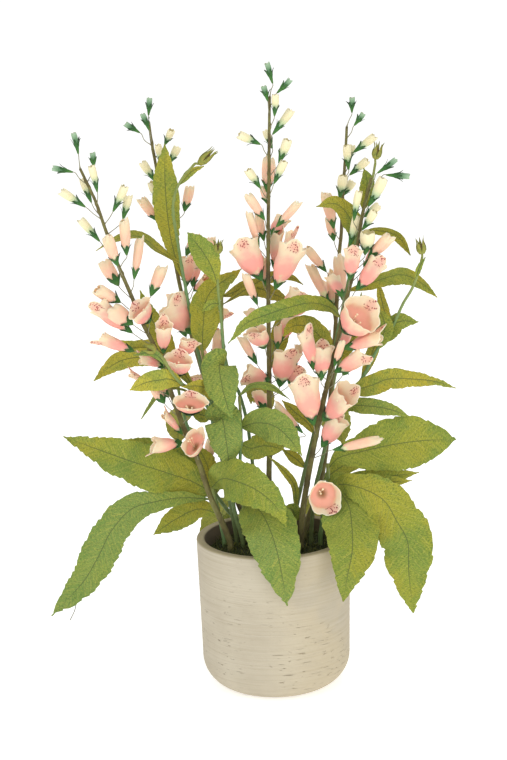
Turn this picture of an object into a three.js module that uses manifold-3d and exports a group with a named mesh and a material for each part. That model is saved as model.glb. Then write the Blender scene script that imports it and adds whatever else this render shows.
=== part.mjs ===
// Potted foxglove arrangement, in millimetres, +Z up. The origin is the middle of the pot's flat base,
// and -Y is the front. Fabric blossoms and leaves on wired stems stand in moss in a stone-like pot.
import * as THREE from 'three';
import Module from 'manifold-3d';
import { mergeVertices } from 'three/addons/utils/BufferGeometryUtils.js';

const wasm = await Module();
wasm.setup();

// Driving dimensions.
const POT_HEIGHT = 150;
const POT_RADIUS = 75;
const POT_WAIST = 72.5;
const POT_FOOT_RADIUS = 42;
const POT_INSIDE = 67;
const RIM_ROUND = 2;
const POT_FLOOR = 12;
const MOSS_LEVEL = 137;
const CLEARANCE = 0.3;
const HOLE_EASE = 1.3;
const BLADE_THICKNESS = 1.6;
const ROOT_FULLNESS = 0.78;
const TIP_TAPER = 0.4;
const WIRE_RADIUS = 0.8;
const ROOT_DEPTH = 42;
const LOBES = 5;
const STATION_STEP = 14;
const STEM_SIDES = 5;
const STALK_SIDES = 4;

// Everything above the moss is laid out as it stands seen from one point in front and a little above.
// A place is [across, up, near]: where it stands on the upright plane through the pot's axis, and how far
// it then lies along the line of sight, towards the front (+) or the back (-).
const FRONT_POINT = new THREE.Vector3(0, -1800, 724);

function place([across, up, near = 0]) {
  const onPlane = new THREE.Vector3(across, 0, up);
  const towards = FRONT_POINT.clone().sub(onPlane).normalize();
  return onPlane.addScaledVector(towards, near);
}

function seededRandom(seed) {
  let state = seed;
  return () => {
    state = (state * 1664525 + 1013904223) % 4294967296;
    return state / 4294967296;
  };
}

// ---- joining -------------------------------------------------------------------------------------------

function solidOf(geometry) {
  const plain = geometry.clone();
  plain.deleteAttribute('normal');
  plain.deleteAttribute('uv');
  const merged = mergeVertices(plain, 1e-4);
  return new wasm.Manifold(new wasm.Mesh({
    numProp: 3,
    vertProperties: new Float32Array(merged.attributes.position.array),
    triVerts: new Uint32Array(merged.index.array),
  }));
}

function geometryOf(solid) {
  const mesh = solid.getMesh();
  const geometry = new THREE.BufferGeometry();
  geometry.setAttribute('position', new THREE.BufferAttribute(new Float32Array(mesh.vertProperties), 3));
  geometry.setIndex(new THREE.BufferAttribute(new Uint32Array(mesh.triVerts), 1));
  geometry.computeVertexNormals();
  return geometry;
}

// The outer body of a fused solid: pockets that the joining seals are filled, loose scraps are dropped.
function outerBody(solid) {
  const bodies = solid.decompose();
  return bodies.reduce((best, body) => (body.volume() > best.volume() ? body : best));
}

function fuse(geometries) {
  const solids = geometries.map(solidOf);
  return outerBody(wasm.Manifold.union(solids));
}

// ---- lofts ---------------------------------------------------------------------------------------------

// A closed skin over rings of points, each ring any number of points or a single point, turning
// anticlockwise seen against the direction of travel.
function loft(rings) {
  const positions = [];
  const starts = rings.map((ring) => {
    const start = positions.length / 3;
    ring.forEach((point) => positions.push(point.x, point.y, point.z));
    return start;
  });
  const index = [];
  for (let row = 0; row + 1 < rings.length; row += 1) {
    const lower = rings[row].length;
    const upper = rings[row + 1].length;
    const lowerSteps = lower === 1 ? 0 : lower;
    const upperSteps = upper === 1 ? 0 : upper;
    let low = 0;
    let high = 0;
    while (low < lowerSteps || high < upperSteps) {
      const a = starts[row] + (low % lower);
      const b = starts[row + 1] + (high % upper);
      const lowFirst = high >= upperSteps || (low < lowerSteps && (low + 1) / lower <= (high + 1) / upper);
      if (lowFirst) {
        index.push(a, starts[row] + ((low + 1) % lower), b);
        low += 1;
      } else {
        index.push(a, starts[row + 1] + ((high + 1) % upper), b);
        high += 1;
      }
    }
  }
  capRing(index, starts[0], rings[0].length, true);
  capRing(index, starts[rings.length - 1], rings[rings.length - 1].length, false);
  const geometry = new THREE.BufferGeometry();
  geometry.setAttribute('position', new THREE.Float32BufferAttribute(positions, 3));
  geometry.setIndex(index);
  return geometry;
}

function capRing(index, start, count, reversed) {
  for (let step = 1; step + 1 < count; step += 1) {
    if (reversed) {
      index.push(start, start + step + 1, start + step);
    } else {
      index.push(start, start + step, start + step + 1);
    }
  }
}

// Two directions square to an axis, the first as near as it can be to the one asked for.
function across(axis, wanted) {
  const side = wanted.clone().addScaledVector(axis, -wanted.dot(axis));
  if (side.length() < 1e-3) {
    side.set(1, 0.3, 0.1).addScaledVector(axis, -axis.x - 0.3 * axis.y - 0.1 * axis.z);
  }
  side.normalize();
  return [side, new THREE.Vector3().crossVectors(axis, side)];
}

function ringOf(centre, side, other, sides, radiusAt, liftAt, axis) {
  return Array.from({ length: sides }, (_, step) => {
    const turn = (2 * Math.PI * step) / sides;
    return centre.clone()
      .addScaledVector(side, radiusAt(step) * Math.cos(turn))
      .addScaledVector(other, radiusAt(step) * Math.sin(turn))
      .addScaledVector(axis, liftAt(step));
  });
}

// A round stalk through its points, thinner towards its tip.
function taperedTube(points, footRadius, tipRadius, sides) {
  const curve = new THREE.CatmullRomCurve3(points, false, 'centripetal');
  const last = points.length - 1;
  return loft(points.map((centre, step) => {
    const axis = curve.getTangent(step / last);
    const [side, other] = across(axis, new THREE.Vector3(0, -1, 0));
    const radius = THREE.MathUtils.lerp(footRadius, tipRadius, step / last);
    return ringOf(centre, side, other, sides, () => radius, () => 0, axis);
  }));
}

// ---- stems ---------------------------------------------------------------------------------------------

// A stem's points run from its foot to its tip. It stands straight in the moss, up to just above it.
function stemPoints(rows) {
  const [foot, ...above] = rows.map(place);
  return [-ROOT_DEPTH, 3, 7].map((rise) => foot.clone().setZ(MOSS_LEVEL + rise)).concat(above);
}

// The middle of a stem at a height.
function stemAt(points, height) {
  const upper = points.findIndex((point) => point.z > height);
  if (upper < 0) {
    return points[points.length - 1].clone();
  }
  const [below, above] = [points[upper - 1], points[upper]];
  return below.clone().lerp(above, (height - below.z) / (above.z - below.z));
}

// ---- blossoms ------------------------------------------------------------------------------------------

// Shapes of the four stages. Each ring is [share of the length, radius as a share of half the width], and
// flatness is the depth through the long lip as a share of the width.
const STAGE = {
  g: { sides: 4, flatness: 1, sepalReach: 0.62, sepalRadius: 4.4, neck: [0.3, 0.75], body: [[0.7, 0.9]] },
  c: { sides: LOBES, flatness: 1, sepalReach: 0.46, sepalRadius: 4.8, neck: [0.28, 0.7],
    body: [[0.65, 1]] },
  p: { sides: LOBES, flatness: 0.85, sepalReach: 0.38, sepalRadius: 6.2, neck: [0.22, 0.7],
    body: [[0.5, 1], [0.88, 0.72]] },
  b: { sides: LOBES, flatness: 0.64, sepalReach: 0.3, sepalRadius: 7.5, neck: [0.18, 0.6],
    body: [[0.45, 0.94]] },
};
const FORWARD = new THREE.Vector3(0, -1, 0);
const FORWARD_PULL = 4;
const LIP_FLARE = 1.12;
const LIP_NOTCH = 0.99;
const NOTCH_DEPTH = 0.05;
const LONG_LIP = 0.2;
const THROAT_DEPTH = 0.36;

// One blossom with its wire and calyx. Rows are [stage, base across, base up, tip across, tip up, width,
// base nearness to its stem, extra nearness of the tip, turn of the long lip in degrees from the front,
// flatness]. A row that ends before the turn has the long lip on the side away from the stem, and one that
// ends before the flatness has its stage's.
function blossom(row, stem) {
  const [stage, baseAcross, baseUp, tipAcross, tipUp, width, offset, forward, lipTurn, ownFlatness] = row;
  const shape = STAGE[stage];
  const flatness = ownFlatness === undefined ? shape.flatness : ownFlatness;
  const beside = stemAt(stem, place([baseAcross, baseUp, 0]).z);
  const stemNear = -beside.y;
  const base = place([baseAcross, baseUp, stemNear + offset]);
  const tip = place([tipAcross, tipUp, stemNear + offset + forward]);
  const axis = tip.clone().sub(base);
  const length = axis.length();
  axis.normalize();
  const foot = stemAt(stem, base.z - 13);
  const outward = base.clone().sub(beside).addScaledVector(FORWARD, FORWARD_PULL);
  const [side, other] = across(axis, lipTurn === undefined ? outward : FORWARD);
  if (lipTurn !== undefined) {
    const turn = THREE.MathUtils.degToRad(lipTurn);
    side.applyAxisAngle(axis, turn);
    other.applyAxisAngle(axis, turn);
  }
  const half = width / 2;
  const flat = side.clone().multiplyScalar(flatness);
  const ringAt = (share, radius) => {
    const centre = base.clone().addScaledVector(axis, share * length);
    return ringOf(centre, flat, other, shape.sides, () => radius, () => 0, axis);
  };

  const wireAxis = base.clone().sub(foot).normalize();
  const [wireSide, wireOther] = across(wireAxis, side);
  const rings = [
    ringOf(foot, wireSide, wireOther, 3, () => WIRE_RADIUS, () => 0, wireAxis),
    ringOf(base, side, other, 3, () => WIRE_RADIUS * 1.5, () => 0, axis),
    ringAt(shape.sepalReach, shape.sepalRadius),
    ringAt(shape.neck[0], Math.min(shape.neck[1] * half, shape.sepalRadius * 0.55)),
    ...shape.body.map(([share, radius]) => ringAt(share, radius * half)),
  ];
  if (stage === 'b') {
    const rim = base.clone().addScaledVector(axis, length);
    const lobe = (step) => step % 2 === 0;
    rings.push(ringOf(rim, flat, other, 2 * LOBES,
      (step) => half * (lobe(step) ? LIP_FLARE : LIP_NOTCH),
      (step) => length * ((step === 0 ? LONG_LIP : 0) - (lobe(step) ? 0 : NOTCH_DEPTH)), axis));
    rings.push([base.clone().addScaledVector(axis, length * THROAT_DEPTH)]);
  } else {
    rings.push([tip]);
  }
  return loft(rings);
}

// A spike: its main stem with every blossom fused to it.
function spike({ stem, radii, blossoms }) {
  const points = stemPoints(stem);
  const tube = taperedTube(points, radii[0], radii[1], STEM_SIDES);
  return fuse([tube, ...blossoms.map((row) => blossom(row, points))]);
}

// ---- leaves --------------------------------------------------------------------------------------------

// The blade's half width along its length, 0 at the root and the tip and 1 at its widest place. It is full
// towards the root and drawn out to a point at the tip.
function bladeShare(share, widest) {
  const power = Math.log(0.5) / Math.log(widest);
  return Math.sin(Math.PI * share ** power) ** (ROOT_FULLNESS + TIP_TAPER * share);
}

// One blade: rows are [height where it leaves its stem, places along its midrib, width, widest share,
// roll at the root, roll at the tip, fold]. Roll turns the blade about its midrib in degrees, from facing
// the front, and fold raises its edges, as a share of its half width.
function leaf(row, stem, random) {
  const [height, midrib, width, widest, rootRoll, tipRoll, fold] = row;
  const points = [stemAt(stem, height), ...midrib.map(place)];
  const line = new THREE.CatmullRomCurve3(points, false, 'centripetal');
  const stations = Math.max(4, Math.min(9, Math.round(line.getLength() / STATION_STEP)));
  const positions = [];
  for (let station = 0; station <= stations; station += 1) {
    const share = station / stations;
    const centre = line.getPointAt(share);
    const axis = line.getTangentAt(share);
    const [facing] = across(axis, FRONT_POINT.clone().sub(centre).normalize());
    const flat = new THREE.Vector3().crossVectors(facing, axis);
    const roll = THREE.MathUtils.degToRad(THREE.MathUtils.lerp(rootRoll, tipRoll, share));
    const side = flat.clone().multiplyScalar(Math.cos(roll)).addScaledVector(facing, Math.sin(roll));
    const normal = facing.clone().multiplyScalar(Math.cos(roll)).addScaledVector(flat, -Math.sin(roll));
    const ends = station === 0 || station === stations;
    const full = (width / 2) * bladeShare(share, widest);
    const cut = () => (ends ? 0.9 : Math.max(1.3, full * (1 - 0.1 * random() - (station % 2 ? 0 : 0.07))));
    const left = cut();
    const right = cut();
    const edge = (sign, reach, lift) => centre.clone()
      .addScaledVector(side, sign * reach)
      .addScaledVector(normal, fold * reach + lift);
    const rib = BLADE_THICKNESS / 2;
    [edge(-1, left, 0), edge(0, 0, rib), edge(1, right, 0), edge(0, 0, -rib)]
      .forEach((point) => positions.push(point.x, point.y, point.z));
  }
  const index = [];
  for (let station = 0; station < stations; station += 1) {
    for (let corner = 0; corner < 4; corner += 1) {
      const a = station * 4 + corner;
      const b = station * 4 + ((corner + 1) % 4);
      if (corner >= 2) {
        index.push(a, a + 4, b, b, a + 4, b + 4);
      } else {
        index.push(a, b + 4, b, a, a + 4, b + 4);
      }
    }
  }
  const last = stations * 4;
  index.push(0, 1, 2, 0, 2, 3, last, last + 2, last + 1, last, last + 3, last + 2);
  const geometry = new THREE.BufferGeometry();
  geometry.setAttribute('position', new THREE.Float32BufferAttribute(positions, 3));
  geometry.setIndex(index);
  return geometry;
}

// A leafy stem: its tube, its leaves and the bud at its tip, fused.
function spray({ stem, radii, leaves, bud = [] }, seed) {
  const random = seededRandom(seed);
  const points = stemPoints(stem);
  return fuse([
    taperedTube(points, radii[0], radii[1], STALK_SIDES),
    ...leaves.map((row) => leaf(row, points, random)),
    ...bud.map((row) => blossom(row, points)),
  ]);
}

// ---- layout --------------------------------------------------------------------------------------------

const SPIKES = {
  spike_left: {
    stem: [[-42, 134, 8], [-52, 170, 9], [-60, 190, 10], [-70, 225, 12], [-85, 265, 14], [-97, 305, 14],
      [-108, 340, 14], [-119, 365, 14], [-128, 390, 14], [-141, 425, 14], [-150, 455, 14], [-158, 482, 14],
      [-163, 494, 14], [-171, 513, 14]],
    radii: [3.3, 1.3],
    blossoms: [
      ['g', -172, 527, -175, 547, 8, 0, 3], ['g', -178, 510, -197, 515, 8, 2, 4],
      ['g', -158, 513, -159, 528, 8, -3, 0], ['c', -156, 491, -160, 516, 7, 5, 6],
      ['c', -162, 481, -170, 504, 7, -8, -6], ['c', -168, 477, -190, 493, 8, 2, 4],
      ['c', -156, 444, -173, 466, 8, -7, -4], ['c', -142, 472, -129, 496, 8, 3, 4],
      ['c', -133, 464, -127, 487, 8, -5, -4], ['p', -140, 420, -150, 449, 11, 10, 8],
      ['p', -131, 430, -133, 464, 11, 4, 6], ['p', -125, 407, -118, 446, 10, -3, -8],
      ['p', -140, 401, -152, 424, 15, -8, -18], ['p', -139, 385, -161, 399, 14, 2, 8],
      ['b', -129, 355, -163, 383, 17, 2, 6, -20], ['p', -128, 363, -148, 379, 17, 12, -2],
      ['b', -113, 364, -121, 380, 25, 12, 10, 222, 0.4], ['p', -110, 390, -98, 419, 13, -4, -6],
      ['b', -128, 337, -161, 352, 17, 3, 4], ['b', -100, 334, -99, 363, 14, 10, 12, 180, 0.75],
      ['b', -99, 321, -124, 330, 15, 5, 4, 90, 0.6], ['p', -101, 326, -108, 337, 5, 10, 4],
      ['b', -87, 311, -85, 329, 23, 12, 12, 172, 0.5], ['b', -82, 330, -74, 347, 18, 4, 3, 30],
      ['b', -115, 304, -134, 316, 10, -6, 4, 90], ['p', -101, 285, -110, 301, 12, -8, -12],
      ['b', -85, 254, -103, 276, 11, 6, 6, 90, 0.7], ['b', -85, 245, -116, 244, 24, 12, 6, 285, 0.6],
      ['b', -72, 236, -75, 248, 27, 14, 16, 60, 0.6], ['b', -77, 274, -77, 286, 28, 12, 18, 178, 0.45],
      ['b', -97, 291, -104, 307, 13, -16, -18], ['b', -98, 340, -102, 360, 14, -12, -22],
    ],
  },
  spike_back_left: {
    stem: [[-20, 146, -22], [-32, 180, -30], [-48, 240, -42], [-60, 300, -50], [-72, 350, -52],
      [-82, 400, -55], [-88, 440, -57], [-93, 470, -58], [-99, 507, -58], [-103, 535, -58],
      [-105, 555, -58]],
    radii: [3.2, 1.3],
    blossoms: [
      ['g', -105, 561, -103, 577, 8, 1, 2], ['g', -105, 547, -110, 563, 8, 5, 2],
      ['g', -114, 545, -127, 554, 8, 1, 2], ['c', -91, 533, -84, 547, 7, 0, 6],
      ['c', -95, 514, -97, 534, 7, 7, 4], ['c', -88, 515, -79, 531, 8, -2, -4],
      ['c', -101, 499, -113, 518, 8, 0, 3], ['c', -99, 481, -105, 499, 9, 6, 6],
      ['p', -101, 462, -115, 484, 11, 2, 4], ['p', -75, 470, -69, 494, 11, -2, -6],
      ['b', -76, 398, -73, 428, 15, 9, 12], ['b', -70, 398, -65, 420, 14, -4, -18],
      ['b', -69, 394, -54, 408, 14, 2, 20], ['p', -54, 422, -51, 445, 11, -6, -8],
      ['p', -75, 428, -65, 449, 10, -6, -6], ['b', -72, 352, -92, 385, 30, 32, 6, 40],
      ['b', -57, 359, -40, 374, 16, 0, -12], ['p', -51, 325, -46, 357, 12, 4, 4],
      ['p', -58, 316, -66, 340, 11, -3, -4], ['b', -64, 293, -70, 311, 20, 8, 4],
      ['p', -62, 226, -56, 247, 11, 4, 8], ['b', -56, 262, -46, 278, 15, 4, -8],
      ['b', -90, 366, -88, 390, 15, -14, -22], ['b', -78, 350, -86, 376, 17, -14, -24],
    ],
  },
  spike_centre: {
    stem: [[-5, 144, -10], [-4, 180, -9], [-2, 222, -9], [0, 295, -10], [1, 350, -10], [2, 400, -10],
      [3, 440, -10], [4, 470, -10], [5, 490, -10], [6, 520, -10], [7, 550, -10], [8, 575, -10]],
    radii: [3.2, 1.3],
    blossoms: [
      ['g', 11, 587, 6, 606, 8, 0, 2], ['g', 15, 578, 28, 590, 8, -2, 0], ['g', 6, 571, 3, 585, 8, 5, 2],
      ['c', 12, 557, 14, 577, 7, 6, 4], ['c', 10, 540, 28, 562, 8, -3, -4],
      ['c', -2, 531, -22, 541, 8, 3, 6], ['c', 9, 527, 3, 544, 7, -8, -6],
      ['c', 15, 513, 24, 535, 9, 4, 4], ['p', 3, 486, 7, 519, 13, -9, -8],
      ['c', 10, 494, 20, 515, 8, 5, 5], ['c', -3, 490, -14, 508, 8, 4, 4],
      ['p', 3, 475, 0, 492, 8, -8, -6], ['p', 0, 460, -15, 485, 9, 7, 6],
      ['p', -6, 434, -15, 468, 8, 3, 4], ['p', -1, 440, -6, 465, 9, -8, -4],
      ['p', 11, 453, 33, 476, 9, 2, 4], ['b', -4, 402, -23, 439, 25, 3, 6, 0],
      ['b', 8, 412, 11, 449, 15, -8, -8], ['b', 8, 393, 27, 436, 22, 8, 8, 0],
      ['b', 14, 415, 25, 449, 12, 2, -10], ['p', 0, 396, -2, 424, 9, -9, -4],
      ['p', -9, 379, -20, 409, 9, 8, 4], ['b', 16, 366, 36, 388, 25, 4, 6, 0],
      ['b', -3, 336, -12, 355, 20, 9, 12], ['p', -11, 321, -25, 349, 10, -3, -6],
      ['p', 9, 335, 10, 358, 9, -7, -4], ['b', 10, 298, 18, 334, 24, 6, 4, 20],
      ['b', 1, 305, -24, 311, 21, 2, 8, -25], ['b', 19, 300, 29, 318, 16, -2, 4, 0],
      ['b', 24, 316, 31, 340, 12, -12, -6], ['p', 31, 252, 5, 281, 8, 18, 6],
      ['b', -6, 276, -8, 290, 17, -9, -22], ['b', -6, 350, -15, 374, 16, -12, -20],
      ['b', 8, 340, 24, 366, 18, -12, -22], ['b', 6, 445, 18, 462, 14, -12, -22],
    ],
  },
  spike_back_right: {
    stem: [[30, 146, -24], [40, 180, -32], [48, 205, -38], [54, 240, -42], [60, 300, -46], [64, 345, -46],
      [67, 385, -46], [70, 428, -46], [72, 445, -46], [74, 480, -46], [76, 504, -46], [78, 530, -46],
      [79, 545, -46]],
    radii: [3.1, 1.3],
    blossoms: [
      ['g', 84, 558, 84, 572, 8, 0, 2], ['g', 86, 546, 95, 557, 8, 1, 2],
      ['c', 85, 521, 105, 536, 8, 2, 4], ['c', 80, 505, 78, 528, 8, 8, 5],
      ['c', 81, 514, 84, 528, 7, -6, -4], ['c', 81, 500, 98, 514, 8, 4, 4],
      ['c', 71, 478, 75, 500, 9, 7, 5], ['c', 73, 480, 84, 494, 8, -6, -4],
      ['p', 65, 450, 59, 484, 12, 3, 5], ['p', 65, 438, 61, 460, 10, -6, -4],
      ['p', 57, 409, 39, 433, 10, 4, 8], ['p', 59, 378, 42, 416, 11, -2, 4],
      ['p', 72, 381, 69, 424, 12, 7, 6], ['p', 63, 371, 64, 409, 14, -7, -6],
      ['b', 60, 324, 54, 353, 16, -2, -8], ['b', 78, 420, 88, 446, 15, -10, -22],
      ['b', 66, 330, 76, 356, 17, -12, -24], ['b', 60, 378, 54, 398, 16, -14, -26],
    ],
  },
  spike_front_right: {
    stem: [[27, 140, 8], [29, 170, 9], [34, 200, 11], [42, 240, 13], [50, 275, 15], [60, 315, 17],
      [65, 335, 18], [70, 355, 18], [78, 390, 18], [83, 408, 18], [89, 445, 18], [94, 470, 18],
      [98, 485, 18], [101, 497, 18]],
    radii: [3.3, 1.4],
    blossoms: [
      ['g', 115, 499, 137, 497, 8, 2, 3], ['g', 107, 501, 125, 513, 8, -2, 0],
      ['c', 98, 470, 114, 496, 10, 3, 4], ['c', 84, 457, 89, 485, 7, 4, 4],
      ['c', 94, 460, 108, 471, 8, -7, -6], ['c', 92, 448, 105, 465, 8, 6, 6],
      ['c', 79, 431, 88, 462, 8, -3, -2], ['b', 79, 400, 84, 431, 15, 8, 8, 0],
      ['c', 94, 424, 97, 446, 14, 5, 6], ['p', 97, 421, 119, 442, 13, 2, 4],
      ['b', 85, 390, 109, 418, 16, 6, 2, 0], ['b', 72, 350, 92, 367, 33, 8, 20, 170, 0.75],
      ['b', 72, 334, 110, 345, 20, 9, 8, 280], ['b', 63, 311, 93, 327, 18, 5, 6, 30],
      ['p', 63, 317, 71, 342, 7, 8, 8], ['b', 43, 314, 36, 354, 16, 8, 4, 45],
      ['b', 50, 303, 51, 338, 18, 12, -8, 180], ['b', 42, 259, 33, 306, 25, 14, 6, 0],
      ['b', 51, 263, 75, 293, 28, 12, 14, 120, 0.5], ['b', 49, 237, 68, 266, 20, 8, -3, 190],
      ['p', 60, 234, 106, 243, 9, 18, 6], ['b', 46, 194, 51, 187, 26, 15, 24, 120, 1],
      ['b', 72, 384, 62, 404, 15, -9, -20], ['b', 93, 412, 104, 430, 14, -9, -20],
      ['b', 71, 308, 84, 326, 16, -9, -18],
    ],
  },
};

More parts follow.
